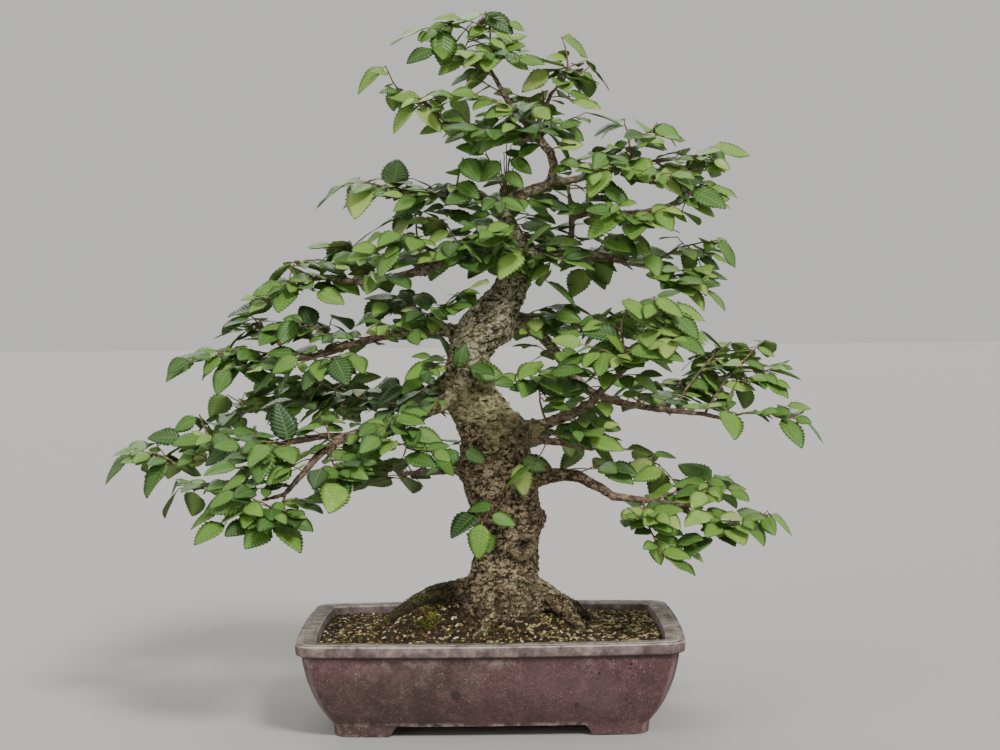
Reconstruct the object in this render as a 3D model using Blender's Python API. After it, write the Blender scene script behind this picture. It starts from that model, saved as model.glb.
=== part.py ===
"""American elm bonsai in full leaf, in an unglazed rectangular pot on four bracket feet.

One solid is the tree's wood: trunk, surface roots and bare limbs. Each leafy spray that grows from it is a
solid of its own, with its twigs and toothed blades fused. Gritty soil is mounded round the roots, and a mesh
screen lies over each drain hole. Places and sizes below are in millimetres, measured from the middle of the
pot: X to the right, Y to the back, Z up, with the table at TABLE and the pot's rim at RIM_LEVEL. At the end
everything moves by POT_PLACE, so that the pot stands at zero and the middle of the whole outline is over the
origin.
"""

import math
import random

import bmesh
import bpy
from mathutils import Matrix, Vector, noise
from mathutils.bvhtree import BVHTree

MM = 0.001
GAP = 0.3  # between two pieces that touch
TABLE = -7
POT_PLACE = (22.6, -29.6, -TABLE)  # the pot stands right of and before the middle of the whole outline

# Pot
RIM_LEVEL = 98
RIM_HALF_X = 204
RIM_HALF_Y = 133
FRONT_BOW = 11  # how far the middle of the rim bows out at the front and the back
END_BOW = 5  # and at the ends
FOOT_BOW = 0.45  # share of the bow that is left at the feet
RIM_BAND = 12.5
RIM_TOP = 20  # width of the flat rim
RIM_EDGE = 1.5  # its worn edges
FLOOR_TOP = 15
FOOT_HEIGHT = 12
FOOT_TOP = TABLE + FOOT_HEIGHT
FOOT_WALL = 16
FOOT_INSET = 36.5
BOWL = ((83, 6.2), (59, 10.6), (39, 16.8), (23, 24), (11, 31.8), (FOOT_TOP, 35.5))  # level, inset from the rim
WALL = 9
OUTER_CORNER = 17
INNER_CORNER = 4
CORNER_STEPS = 3
FOOT_GAP_X = 100  # half of the gap between the feet, front and back
FOOT_GAP_Y = 52  # and at the ends
FOOT_SLANT = 9.5  # the gap is this much wider at the table
DRAIN_RADIUS = 11
DRAIN_X = 75
SCREEN_HALF = 19
SCREEN_CELLS = 2
SCREEN_WIRE = 1.2
SCREEN_ROOM = 1.5  # between the screen's edge and the soil

# Soil
SOIL_LEVEL = 89
SOIL_CELL = 28  # spacing of the points of its surface
SOIL_GRAIN = 2.2  # height of the coarse grit
SOIL_LUMP = 17  # its width
SOIL_GAP = 0.35  # to the wall of the pot
MOUNDS = ((15, 0, 50, 42, 34), (-60, 5, 38, 36, 28))  # X, Y, spread in X and Y, height

# Wood: X, Y, Z and radius of each station
TRUNK = (
    (10, 0, 72, 26), (12, 0, 100, 47), (13, 0, 122, 50), (13, 0, 139, 43), (14, 2, 152, 38),
    (17, 3, 167, 36), (19, 4, 194, 36), (19, 4, 211, 37), (15, 3, 232, 37), (12, 2, 255, 39),
    (6, 0, 283, 38), (0, -2, 311, 34), (-8, -3, 330, 32), (-19, -3, 349, 30), (-21, -2, 377, 26.5),
    (-21, -1, 392, 24), (-18, 0, 405, 25), (-10, 0, 419, 27), (5, 0, 434, 27), (13, 0, 447, 23),
    (22, 1, 461, 20), (32, 2, 482, 18), (39, 1, 496, 16.5), (42, 0, 510, 14),
)
LEADER = (
    (38, 0, 498, 13), (35, 0, 520, 12), (25, -1, 540, 10), (17, -2, 553, 9), (20, -4, 563, 8),
    (32, -7, 568, 7.5), (52, -12, 576, 7), (70, -17, 582, 6.5), (75, -20, 600, 6), (71, -20, 616, 6),
    (63, -20, 625, 5.5), (55, -18, 638, 5), (39, -15, 654, 4.5), (28, -15, 668, 4), (19, -15, 684, 3.5),
    (9, -15, 702, 3), (0, -15, 718, 2.5), (-5, -15, 732, 2.2),
)
ROOTS = (
    ((0, 0, 135, 22), (-28, -4, 131, 18), (-60, -2, 128, 14), (-82, 0, 120, 11), (-102, -4, 108, 9),
     (-122, -8, 94, 7), (-138, -10, 82, 5)),
    ((15, -8, 132, 20), (13, -32, 119, 14), (2, -50, 108, 11), (-10, -64, 97, 8), (-22, -80, 84, 6)),
    ((30, -2, 138, 22), (56, -6, 130, 16), (80, -14, 116, 12), (92, -27, 103, 9), (100, -42, 88, 6)),
    ((30, 5, 132, 20), (62, 18, 122, 14), (92, 30, 107, 11), (118, 44, 86, 7)),
    ((5, 12, 132, 20), (-16, 36, 117, 14), (-40, 66, 99, 10), (-60, 92, 82, 6)),
    ((20, 12, 132, 20), (34, 42, 116, 13), (56, 74, 96, 9), (70, 96, 82, 6)),
)
ROOT_LOBES = 5  # the foot of the trunk swells toward its roots
ROOT_LOBE_DEPTH = 3.5
ROOT_LOBE_Z = 115
ROOT_LOBE_SPREAD = 45
KNOBS = (  # X, Y, Z, spread, height: old scars and swellings
    (52, -8, 222, 16, 8), (-34, -6, 262, 16, 6), (22, -36, 180, 12, 4), (30, -4, 420, 12, 5),
    (-30, 0, 352, 14, 4), (38, 18, 300, 16, 5), (-8, 34, 235, 18, 5),
)
LIMBS = {
    "left_high": (
        (40, 0, 500, 10), (18, -1, 506, 9), (-8, -3, 507, 8), (-35, -5, 502, 7), (-66, 5, 491, 6),
        (-89, 10, 485, 5.5), (-135, 20, 476, 4.5), (-184, 25, 483, 3.5), (-213, 30, 478, 2.5),
    ),
    "left_middle": (
        (0, 0, 428, 14), (-26, 2, 422, 10), (-73, 10, 425, 7.5), (-122, 15, 416, 6), (-157, 25, 406, 5),
        (-186, 25, 397, 4.5), (-218, 30, 391, 3.5), (-252, 30, 372, 2.5),
    ),
    "left_back": (
        (-14, 2, 362, 18), (-48, 15, 364, 12), (-88, 60, 340, 8), (-130, 110, 335, 6),
        (-193, 150, 336, 4.5), (-243, 170, 333, 2.5),
    ),
    "left_front": (
        (-10, -4, 345, 18), (-40, -15, 347, 10), (-88, -60, 326, 7.5), (-132, -90, 318, 6.5),
        (-157, -105, 311, 6), (-177, -120, 297, 5), (-192, -130, 279, 4.5), (-212, -135, 257, 3.5),
        (-235, -142, 252, 2.5),
    ),
    "left_far": (
        (-148, -99, 314, 5), (-173, -98, 315, 4.5), (-211, -90, 308, 4), (-256, -75, 297, 3.5),
        (-306, -60, 287, 2.8), (-345, -55, 282, 2.2),
    ),
    "left_low": (
        (-8, 10, 268, 16), (-40, 38, 266, 7), (-71, 80, 258, 5), (-110, 140, 251, 3),
    ),
    "right_low": (
        (30, 2, 256, 16), (60, -4, 260, 10), (82, -12, 263, 8.5), (98, -20, 262, 8), (109, -25, 256, 7),
        (123, -30, 249, 6), (135, -38, 241, 5.5), (182, -50, 236, 4), (232, -57, 229, 2.5),
    ),
    "right_rise": (
        (10, -2, 314, 16), (34, -22, 318, 10), (47, -35, 315, 8), (75, -55, 327, 7), (93, -65, 334, 6.5),
        (109, -75, 344, 6), (124, -85, 362, 5), (146, -95, 383, 4), (156, -100, 409, 2.5),
    ),
    "right_long": (
        (5, 2, 438, 13), (34, 6, 430, 9), (58, 10, 418, 7.5), (73, 15, 400, 7), (95, 20, 370, 6.5),
        (112, 20, 353, 6), (134, 20, 344, 5.5), (151, 15, 339, 5), (191, 10, 332, 4.5), (238, 5, 327, 3.5),
        (283, 0, 316, 2.5),
    ),
    "right_high": (
        (32, 0, 505, 10), (63, 5, 509, 7.5), (103, 10, 507, 6.5), (152, 10, 498, 5), (175, 15, 492, 4),
        (204, 15, 487, 2.5),
    ),
    "riser": (
        (90, 8, 506, 5), (94, 0, 531, 4.5), (93, -15, 558, 4), (89, -25, 579, 2.5),
    ),
    "riser_arm": (
        (93, -8, 544, 4), (110, -15, 549, 4), (147, -25, 549, 3.5), (174, -30, 551, 3),
        (209, -35, 558, 2.2),
    ),
    "top_right": (
        (70, -17, 582, 5), (97, -5, 587, 5), (131, 5, 597, 4), (170, 10, 606, 3.2), (212, 15, 611, 2.4),
    ),
    "top_left": (
        (58, -18, 632, 5), (25, -15, 632, 4.5), (-13, -15, 646, 4), (-42, -15, 650, 3.5),
        (-58, -15, 666, 3), (-75, -15, 678, 2.2),
    ),
    "leader_left": (
        (19, -4, 560, 6), (-8, -5, 571, 4.5), (-42, 0, 577, 4), (-81, 5, 576, 3), (-112, 10, 569, 2.2),
    ),
    "apex_right": (
        (54, -18, 640, 4), (64, -10, 661, 3.5), (72, -8, 680, 3), (84, -4, 694, 2.2),
    ),
    "back_low": (
        (14, 6, 300, 18), (33, 60, 297, 7), (81, 130, 287, 5), (125, 180, 273, 3),
    ),
    "back_right": (
        (10, 4, 438, 13), (35, 50, 437, 6.5), (82, 110, 427, 5), (144, 160, 419, 4), (178, 183, 415, 2.5),
    ),
    "back_high": (
        (36, 2, 500, 10), (18, 50, 503, 5.5), (-16, 100, 501, 4), (-44, 124, 500, 2.5),
    ),
    "trunk_front": (
        (10, -20, 236, 10), (0, -44, 232, 3), (-4, -50, 228, 2.2),
    ),
    "trunk_high": (
        (-20, -10, 395, 8), (-24, -30, 396, 3), (-27, -36, 395, 2.2),
    ),
}
TRUNK_SIDES = 12
TRUNK_STEP = 23  # between the rings of its mesh
TRUNK_BARK = 3.0  # height of the ridges
BARK_SCALE = 26  # their spacing
BARK_FINER = 2.2  # each finer set of ridges is closer by this
BARK_SETS = 3
ROOT_SIDES = 6
ROOT_STEP = 30
ROOT_BARK = 1.6
LIMB_SIDES = 5
LIMB_STEP = 46
LIMB_BARK = 0.5
HOLE_TOP = 190  # the soil's hole follows the trunk up to here
HOLE_GAP = 0.4

# Sprays: the limb that each grows from, then the middle of the leaf at the end of each of its twigs
SPRAYS = (
    ("left_front", (-290, -150, 240), (-285, -170, 220), (-335, -125, 250), (-305, -130, 265)),
    ("left_front", (-235, -185, 220), (-255, -165, 245), (-210, -175, 205), (-185, -170, 250)),
    ("left_front", (-145, -165, 270), (-155, -190, 260), (-150, -150, 285), (-185, -75, 330)),
    ("left_front", (-80, -110, 315), (-125, -120, 295), (-70, -140, 290), (-45, -110, 285)),
    ("left_far", (-235, -150, 290), (-260, -145, 265), (-215, -100, 330)),
    ("left_far", (-405, -50, 280), (-380, -40, 300), (-360, -75, 265)),
    ("left_far", (-340, -30, 300), (-310, -10, 325), (-280, -90, 310)),
    ("left_back", (-305, 170, 320), (-340, 140, 310), (-330, 205, 330), (-285, 225, 340)),
    ("left_back", (-250, 215, 350), (-210, 190, 365), (-165, 250, 345), (-200, 235, 310)),
    ("left_back", (-220, 90, 350), (-170, 90, 350), (-110, 70, 360)),
    ("left_middle", (-345, 10, 385), (-310, 25, 385), (-290, -30, 370)),
    ("left_middle", (-290, 70, 435), (-290, 50, 410), (-265, 90, 420)),
    ("left_middle", (-220, -20, 425), (-200, 20, 440), (-165, 70, 435)),
    ("left_middle", (-190, -60, 375), (-155, -80, 385), (-245, -40, 370)),
    ("left_middle", (-100, 30, 455), (-130, 80, 445), (-55, -40, 435), (-20, -45, 460)),
    ("left_high", (-235, 30, 490), (-275, 20, 445), (-225, 0, 460), (-215, 50, 500)),
    ("left_high", (-170, 70, 515), (-130, 50, 535), (-155, 100, 505)),
    ("left_high", (-95, -20, 520), (-110, -40, 500), (-95, 50, 555)),
    ("left_high", (-60, 20, 540), (-35, -45, 515), (-15, -55, 510)),
    ("left_low", (-135, 170, 240), (-95, 160, 235), (-110, 215, 255)),
    ("leader_left", (-175, 15, 575), (-140, 0, 565), (-100, 30, 600), (-130, 40, 580)),
    ("leader_left", (-50, -30, 550), (-35, -25, 590), (-15, -40, 600), (-85, -15, 560)),
    ("top_left", (-125, -15, 700), (-90, -25, 685), (-90, -30, 655), (-60, -40, 650), (-25, 5, 670)),
    ("leader", (-20, -15, 765), (-50, -5, 750), (-85, -20, 745), (-45, -30, 725)),
    ("leader", (15, -20, 760), (30, 0, 745), (5, -40, 715), (-10, 10, 700)),
    ("leader", (45, -50, 665), (15, -50, 660), (45, -60, 635), (5, -50, 625)),
    ("leader", (60, 50, 680), (30, 55, 660), (85, 50, 625)),
    ("leader", (10, -50, 530), (25, -60, 495), (55, -55, 525), (100, -50, 495), (80, -40, 460)),
    ("leader", (35, 75, 525), (0, 80, 510), (15, 55, 590)),
    ("apex_right", (100, 0, 735), (65, -15, 715), (130, 5, 700), (110, 20, 695), (110, -25, 665)),
    ("top_right", (275, 15, 620), (240, 0, 615), (260, -20, 570)),
    ("top_right", (205, 30, 640), (175, 40, 650), (140, 45, 650)),
    ("top_right", (170, -30, 600), (200, -40, 580), (220, -15, 570), (120, -60, 580)),
    ("riser_arm", (240, -50, 565), (200, -60, 565), (225, 0, 545)),
    ("riser_arm", (160, -70, 530), (125, -60, 535), (195, -20, 535)),
    ("right_high", (270, 20, 505), (230, 40, 510), (240, -10, 485)),
    ("right_high", (255, 0, 455), (220, -20, 460), (180, -40, 495)),
    ("right_high", (130, 80, 490), (175, 80, 525), (105, 115, 475)),
    ("right_long", (365, 0, 305), (340, 15, 325), (290, -30, 330), (260, -50, 320), (265, -30, 350)),
    ("right_long", (335, 30, 370), (305, 40, 360), (320, 70, 400)),
    ("right_long", (295, 95, 395), (260, 80, 405), (280, 60, 375)),
    ("right_long", (210, 90, 355), (175, 110, 360), (240, 60, 345)),
    ("right_rise", (155, -110, 450), (130, -120, 435), (140, -105, 405)),
    ("right_rise", (190, -115, 450), (210, -105, 430), (210, -125, 405)),
    ("right_rise", (120, -130, 390), (85, -115, 390), (165, -145, 400)),
    ("right_rise", (45, -90, 385), (40, -105, 365), (70, -110, 370)),
    ("right_rise", (125, -110, 305), (90, -105, 310), (50, -70, 280), (30, -60, 265)),
    ("right_low", (150, -75, 225), (180, -95, 220), (185, -100, 190), (200, -115, 175)),
    ("right_low", (320, -50, 210), (285, -35, 220), (265, -80, 195), (220, -85, 190)),
    ("right_low", (265, -15, 235), (265, 10, 255), (225, 10, 265), (185, 20, 255), (170, 40, 270)),
    ("back_low", (190, 220, 260), (135, 230, 250), (100, 250, 260), (60, 220, 285)),
    ("back_right", (245, 210, 400), (210, 225, 420), (160, 235, 430), (125, 215, 420)),
    ("back_high", (-60, 150, 500), (-25, 170, 510), (25, 150, 510), (-100, 120, 495)),
    ("trunk_front", (-30, -60, 215), (-10, -70, 195), (15, -60, 225)),
    ("trunk_high", (-30, -55, 390), (-5, -60, 380), (-75, -50, 380)),
)

# Twigs and leaves
TWIG_ROOT = 1.5  # radius where a twig leaves the limb
TWIG_TIP = 0.8
TWIG_CLEAR = 1.5  # between twigs of different sprays
LEAF_LENGTHS = (34, 50)
LEAF_WIDTH = 0.58  # of its length
LEAF_THICK = 1.8  # at the rib, down to nothing at the teeth: more than 0.6 mm on average
LEAF_ROOT = 1.0  # size of the square foot that is sunk in the twig
LEAF_DISH = 1.6  # the teeth stand this far above the rib
LEAF_DROP = 3.0  # and the tip this far below it
LEAF_OUTLINE = ((0.12, 0.34), (0.38, 1.0), (0.54, 0.80), (0.68, 0.82))  # along, share of half width
LEAF_THICKEST = 0.45  # along its rib
LEAF_SKEW = 0.02  # one half starts this much further along: an elm's uneven base
LEAF_SUNK = 2.5  # how far a leaf's foot goes back into the end of its twig
LEAF_TRIES = 24
FULL_TRIES = 8  # after these a leaf is tried smaller
SMALLER = 0.85
LEAF_CLEAR = 5  # past this the blade stays off its own twig
LEAF_GAP = 0.5
TURN_TRIES = (15, 12)  # degrees sideways and down that a leaf is turned to find room
BEND_TRIES = 10
BEND_SHARE = 0.4  # of a twig's length that it keeps its first direction
BEND_MOVE = (3, 4)  # how far its bend is moved to find a clear way, in X and Z
SEAT_TRIES = 16
SEAT_MOVE = 0.1
SEAT_STEPS = (0, 3, 6)  # where along a stem its foot is tested
ANCHOR_STEP = 4
ANCHOR_BACK = 0.45  # a stem leaves its limb this share of its reach before its leaves
TWIG_STEPS = 4  # places tested between two points of a twig
TWIG_BARE = 8  # the first length of a stem, where it may be near the bark
FORK_BARE = 6
REACH = 33  # a leaf nearer than this to its stem needs no twig of its own
SIDE_LEAF_REACH = 62  # a twig longer than this has a side leaf too
SIDE_LEAF_TURN = (45, 70)  # degrees from the twig
SIDE_LEAF_PLACE = (0.5, 0.75)  # along the twig
SIDE_LEAF_SIZE = 0.95
SIDE_TWIG = 0.75  # a side twig's radius, as a share of the stem's
TIP_TURN = 25  # degrees either way that the last leaf turns from its twig
LONGEST_SHARE = 1.3  # of its reach that a leaf at its end may be
DROOP = (8, 48)  # degrees below level
LEAN = 0.5  # how far a blade leans from level toward the light, and at random
BACK_STARTS = 60  # behind this the leaves lean to the back
BACK_BLEND = 60
SAMPLE_STEP = 3


def clear_file():
    for thing in list(bpy.data.objects):
        bpy.data.objects.remove(thing)


def new_collection(name):
    group = bpy.data.collections.new(name)
    bpy.context.scene.collection.children.link(group)
    return group


def new_material(name, colour, roughness):
    material = bpy.data.materials.new(name)
    material.use_nodes = True
    shader = material.node_tree.nodes["Principled BSDF"]
    shader.inputs["Base Color"].default_value = (*colour, 1)
    shader.inputs["Roughness"].default_value = roughness
    shader.inputs["Metallic"].default_value = 0  # nothing here is metal
    return material


def new_object(name, mesh, group, material=None):
    thing = bpy.data.objects.new(name, mesh)
    group.objects.link(thing)
    if material:
        mesh.materials.clear()
        mesh.materials.append(material)
    return thing


def mesh_from(bm, name):
    bmesh.ops.recalc_face_normals(bm, faces=bm.faces)
    mesh = bpy.data.meshes.new(name)
    bm.to_mesh(mesh)
    bm.free()
    return mesh


def evaluated_copy(thing):
    """The object's mesh with its modifiers applied, as a mesh of its own."""
    graph = bpy.context.evaluated_depsgraph_get()
    return bpy.data.meshes.new_from_object(thing.evaluated_get(graph), depsgraph=graph).copy()


def add_boolean(thing, operation, operand):
    boolean = thing.modifiers.new(operation.lower(), "BOOLEAN")
    boolean.operation = operation
    boolean.solver = "EXACT"
    if isinstance(operand, bpy.types.Collection):
        boolean.operand_type = "COLLECTION"
        boolean.collection = operand
    else:
        boolean.object = operand


def hide_cutter(thing):
    thing.hide_render = True
    thing.display_type = "WIRE"


def largest_piece(mesh):
    """Drops any loose scrap, so that one closed body is left."""
    bm = bmesh.new()
    bm.from_mesh(mesh)
    todo, pieces = set(bm.faces), []
    while todo:
        edge_faces = [todo.pop()]
        piece = set(edge_faces)
        while edge_faces:
            for edge in edge_faces.pop().edges:
                for face in edge.link_faces:
                    if face in todo:
                        todo.discard(face)
                        piece.add(face)
                        edge_faces.append(face)
        pieces.append(piece)
    pieces.sort(key=len)
    for piece in pieces[:-1]:
        bmesh.ops.delete(bm, geom=list(piece), context="FACES")
    bm.to_mesh(mesh)
    bm.free()


def join_solids(name, meshes, group, material):
    """One body from meshes that run into each other."""
    base = new_object(name, meshes[0], group, material)
    rest = new_collection(name + "_rest")
    for mesh in meshes[1:]:
        new_object(name + "_piece", mesh, rest)
    add_boolean(base, "UNION", rest)
    joined = evaluated_copy(base)
    base.modifiers.clear()
    for piece in list(rest.objects):
        bpy.data.objects.remove(piece)
    bpy.data.collections.remove(rest)
    largest_piece(joined)
    base.data = joined
    return base


# Smooth routes and tubes

def smooth_route(stations, step):
    """Points about a step apart on a smooth curve through all the stations (X, Y, Z, radius)."""
    knots = [Vector(s) for s in stations]
    knots = [knots[0] * 2 - knots[1], *knots, knots[-1] * 2 - knots[-2]]
    route = []
    for a, b, c, d in zip(knots, knots[1:], knots[2:], knots[3:]):
        count = max(1, round((c - b).length / step))
        for i in range(count):
            t = i / count
            route.append(0.5 * (2 * b + (c - a) * t + (2 * a - 5 * b + 4 * c - d) * t * t
                                + (3 * b - a - 3 * c + d) * t ** 3))
    route.append(knots[-2])
    return route


def straight_steps(route, step):
    """Points about a step apart on the straight runs of a route, as the tube's own middle line runs."""
    points = []
    for first, second in zip(route, route[1:]):
        a, b = Vector(first[:3]), Vector(second[:3])
        count = max(1, round((b - a).length / step))
        points += [a.lerp(b, i / count) for i in range(count)]
    return points


def new_curve(name, points, closed=False):
    curve = bpy.data.curves.new(name, "CURVE")
    curve.dimensions = "3D"
    line = curve.splines.new("POLY")
    line.points.add(len(points) - 1)
    line.use_cyclic_u = closed
    for point, (x, y, z, radius) in zip(line.points, points):
        point.co = (x * MM, y * MM, z * MM, 1)
        point.radius = radius
    return curve


def tube_mesh(name, route, sides):
    """A closed tube along a route of X, Y, Z and radius, with a polygon as its section."""
    turns = [2 * math.pi * i / sides for i in range(sides)]
    section = new_curve("section", [(math.cos(t), math.sin(t), 0, 1) for t in turns], closed=True)
    outline = new_object("section", section, bpy.context.scene.collection)
    curve = new_curve(name, route)
    curve.bevel_mode = "OBJECT"
    curve.bevel_object = outline
    curve.use_fill_caps = True
    guide = new_object(name, curve, bpy.context.scene.collection)
    mesh = evaluated_copy(guide)
    for thing in (guide, outline):
        bpy.data.objects.remove(thing)
    for data in (curve, section):
        bpy.data.curves.remove(data)
    bm = bmesh.new()
    bm.from_mesh(mesh)
    bmesh.ops.remove_doubles(bm, verts=bm.verts, dist=0.00001)
    bmesh.ops.recalc_face_normals(bm, faces=bm.faces)
    bm.to_mesh(mesh)
    bm.free()
    return mesh


# Pot, screens and soil

def plan_ring(half_x, half_y, corner, z):
    """One outline of the pot: a rectangle with round corners, whose sides bow out a little."""
    signs = ((1, 1), (-1, 1), (-1, -1), (1, -1))
    corners = []
    for quarter, (sx, sy) in enumerate(signs):
        for step in range(CORNER_STEPS + 1):
            turn = math.radians(90 * (quarter + step / CORNER_STEPS))
            corners.append((sx * (half_x - corner) + corner * math.cos(turn),
                            sy * (half_y - corner) + corner * math.sin(turn)))
    ring = []
    for i, (x, y) in enumerate(corners):
        ring.append((x, y))
        if i % (CORNER_STEPS + 1) == CORNER_STEPS:
            nx, ny = corners[(i + 1) % len(corners)]
            parts = 4 if abs(nx - x) > abs(ny - y) else 2
            ring += [(x + (nx - x) * k / parts, y + (ny - y) * k / parts) for k in range(1, parts)]
    share = FOOT_BOW + (1 - FOOT_BOW) * (z - TABLE) / (RIM_LEVEL - TABLE)
    bowed = []
    for x, y in ring:
        bow_x = END_BOW * share * (x / half_x) * (1 - (y / half_y) ** 2)
        bow_y = FRONT_BOW * share * (y / half_y) * (1 - (x / half_x) ** 2)
        bowed.append(Vector((x + bow_x, y + bow_y, z)) * MM)
    return bowed


def loft(name, rings):
    """A closed body through rings with the same number of points, with a flat cap at each end."""
    bm = bmesh.new()
    rows = [[bm.verts.new(point) for point in ring] for ring in rings]
    for low, high in zip(rows, rows[1:]):
        for i in range(len(low)):
            j = (i + 1) % len(low)
            bm.faces.new((low[i], low[j], high[j], high[i]))
    bm.faces.new(rows[0])
    bm.faces.new(rows[-1])
    return mesh_from(bm, name)


def inset_ring(z, inset, corner):
    return plan_ring(RIM_HALF_X - inset, RIM_HALF_Y - inset, corner, z)


def cavity_rings(margin=0.0):
    """The inside of the pot from its floor to the rim; a margin makes it smaller all round."""
    corner = OUTER_CORNER - WALL
    (high, _), (middle, middle_inset), _, (_, low_inset), _, _ = BOWL
    return [
        inset_ring(FLOOR_TOP + margin, low_inset + 2 * WALL + margin, corner),
        inset_ring(FLOOR_TOP + WALL, low_inset + WALL + margin, corner),
        inset_ring(middle, middle_inset + WALL + margin, corner),
        inset_ring(high, RIM_TOP + RIM_EDGE + margin, 2 * INNER_CORNER),
        inset_ring(RIM_LEVEL - RIM_EDGE, RIM_TOP + margin, INNER_CORNER),
    ]


def build_pot(group, cutters, material):
    outer = [
        inset_ring(RIM_LEVEL, RIM_TOP - RIM_EDGE, INNER_CORNER),
        inset_ring(RIM_LEVEL, RIM_EDGE, OUTER_CORNER),
        inset_ring(RIM_LEVEL - RIM_EDGE, 0, OUTER_CORNER),
        inset_ring(RIM_LEVEL - RIM_BAND, 1, OUTER_CORNER),
    ]
    outer += [inset_ring(z, inset, OUTER_CORNER) for z, inset in BOWL]
    outer += [
        inset_ring(TABLE, FOOT_INSET, OUTER_CORNER),
        inset_ring(TABLE, FOOT_INSET + FOOT_WALL, INNER_CORNER),
        inset_ring(FOOT_TOP, FOOT_INSET + FOOT_WALL + RIM_EDGE, INNER_CORNER),
    ]
    pot = new_object("pot", loft("pot", cavity_rings() + outer), group, material)
    for name, axis, half_gap in (("gap_front", "X", FOOT_GAP_X), ("gap_end", "Y", FOOT_GAP_Y)):
        bm = bmesh.new()
        bmesh.ops.create_cube(bm, size=1)
        for vert in bm.verts:
            reach = half_gap + (2 * FOOT_SLANT if vert.co.z < 0 else 0)
            across = math.copysign(reach, vert.co.x)
            along = math.copysign(2 * RIM_HALF_X, vert.co.y)
            height = TABLE - FOOT_HEIGHT if vert.co.z < 0 else FOOT_TOP
            vert.co = Vector((across, along, height) if axis == "X" else (along, across, height)) * MM
        cutter = new_object(name, mesh_from(bm, name), cutters)
        hide_cutter(cutter)
        add_boolean(pot, "DIFFERENCE", cutter)
    for side in (-1, 1):
        bm = bmesh.new()
        bmesh.ops.create_cone(bm, cap_ends=True, segments=16, radius1=DRAIN_RADIUS * MM,
                              radius2=DRAIN_RADIUS * MM, depth=FLOOR_TOP * 2 * MM)
        hole = new_object("drain_cutter", mesh_from(bm, "drain_cutter"), cutters)
        hole.location = (side * DRAIN_X * MM, 0, FLOOR_TOP * MM)
        hide_cutter(hole)
        add_boolean(pot, "DIFFERENCE", hole)
    return pot


def build_screen(name, x, group, material):
    """A square of drain mesh, lying on the floor of the pot over its hole."""
    bm = bmesh.new()
    bmesh.ops.create_grid(bm, x_segments=SCREEN_CELLS, y_segments=SCREEN_CELLS, size=SCREEN_HALF * MM)
    bmesh.ops.wireframe(bm, faces=bm.faces, thickness=SCREEN_WIRE * MM, use_replace=True,
                        use_boundary=True, use_even_offset=True)
    screen = new_object(name, mesh_from(bm, name), group, material)
    screen.location = (x * MM, 0, (FLOOR_TOP + GAP + SCREEN_WIRE) * MM)
    return screen


def soil_height(x, y):
    height = SOIL_LEVEL
    for cx, cy, sx, sy, rise in MOUNDS:
        height += rise * math.exp(-0.5 * (((x - cx) / sx) ** 2 + ((y - cy) / sy) ** 2))
    return height + SOIL_GRAIN * noise.noise(Vector((x, y, 0)) / SOIL_LUMP)


def build_soil(group, cutters, material, root_hole):
    bm = bmesh.new()
    bmesh.ops.create_grid(bm, x_segments=round(2 * RIM_HALF_X / SOIL_CELL),
                          y_segments=round(2 * RIM_HALF_Y / SOIL_CELL), size=MM)
    top = list(bm.verts)
    for vert in top:
        x = vert.co.x / MM * RIM_HALF_X
        y = vert.co.y / MM * RIM_HALF_Y
        vert.co = Vector((x, y, soil_height(x, y))) * MM
    lower = bmesh.ops.extrude_face_region(bm, geom=list(bm.faces))["geom"]
    for part in lower:
        if isinstance(part, bmesh.types.BMVert):
            part.co.z = TABLE * MM
    soil = new_object("soil", mesh_from(bm, "soil"), group, material)
    recess = 2 * GAP + 2 * SCREEN_WIRE
    span = 2 * (SCREEN_HALF + SCREEN_ROOM)
    for side in (-1, 1):
        bm = bmesh.new()
        bmesh.ops.create_cube(bm, size=1)
        bmesh.ops.scale(bm, verts=bm.verts, vec=Vector((span, span, 2 * recess)) * MM)
        box = new_object("screen_recess", mesh_from(bm, "screen_recess"), cutters)
        box.location = (side * DRAIN_X * MM, 0, (FLOOR_TOP + GAP) * MM)
        hide_cutter(box)
        add_boolean(soil, "DIFFERENCE", box)
    hide_cutter(root_hole)
    add_boolean(soil, "DIFFERENCE", root_hole)
    rings = cavity_rings(SOIL_GAP)
    rings.append(inset_ring(2 * RIM_LEVEL, RIM_TOP + SOIL_GAP, INNER_CORNER))
    cavity = new_object("cavity", loft("cavity", rings), cutters)
    hide_cutter(cavity)
    add_boolean(soil, "INTERSECT", cavity)
    return soil


# Wood

def bark_push(place, amount):
    """How far the bark stands out at a place in millimetres: ridges, knobs and the lobes of the foot."""
    push = amount * noise.fractal(place / BARK_SCALE, 1.0, BARK_FINER, BARK_SETS)
    for x, y, z, spread, height in KNOBS:
        away = (place - Vector((x, y, z))).length / spread
        push += height * math.exp(-away * away)
    return push


def add_bark(mesh, amount, grow=0.0, lobes=False):
    bm = bmesh.new()
    bm.from_mesh(mesh)
    bmesh.ops.triangulate(bm, faces=bm.faces, quad_method="FIXED")
    bm.normal_update()
    pushes = []
    for vert in bm.verts:
        place = vert.co / MM
        push = bark_push(place, amount) + grow
        if lobes:
            turn = math.atan2(place.y, place.x - TRUNK[3][0])
            fade = math.exp(-((place.z - ROOT_LOBE_Z) / ROOT_LOBE_SPREAD) ** 2)
            push += ROOT_LOBE_DEPTH * fade * math.cos(ROOT_LOBES * turn)
        pushes.append(vert.normal * push * MM)
    for vert, push in zip(bm.verts, pushes):
        vert.co += push
    bm.to_mesh(mesh)
    bm.free()
    return mesh


def limb_routes():
    routes = {"trunk": smooth_route(TRUNK, TRUNK_STEP), "leader": smooth_route(LEADER, TRUNK_STEP)}
    for name, stations in LIMBS.items():
        routes[name] = smooth_route(stations, LIMB_STEP)
    return routes


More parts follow.
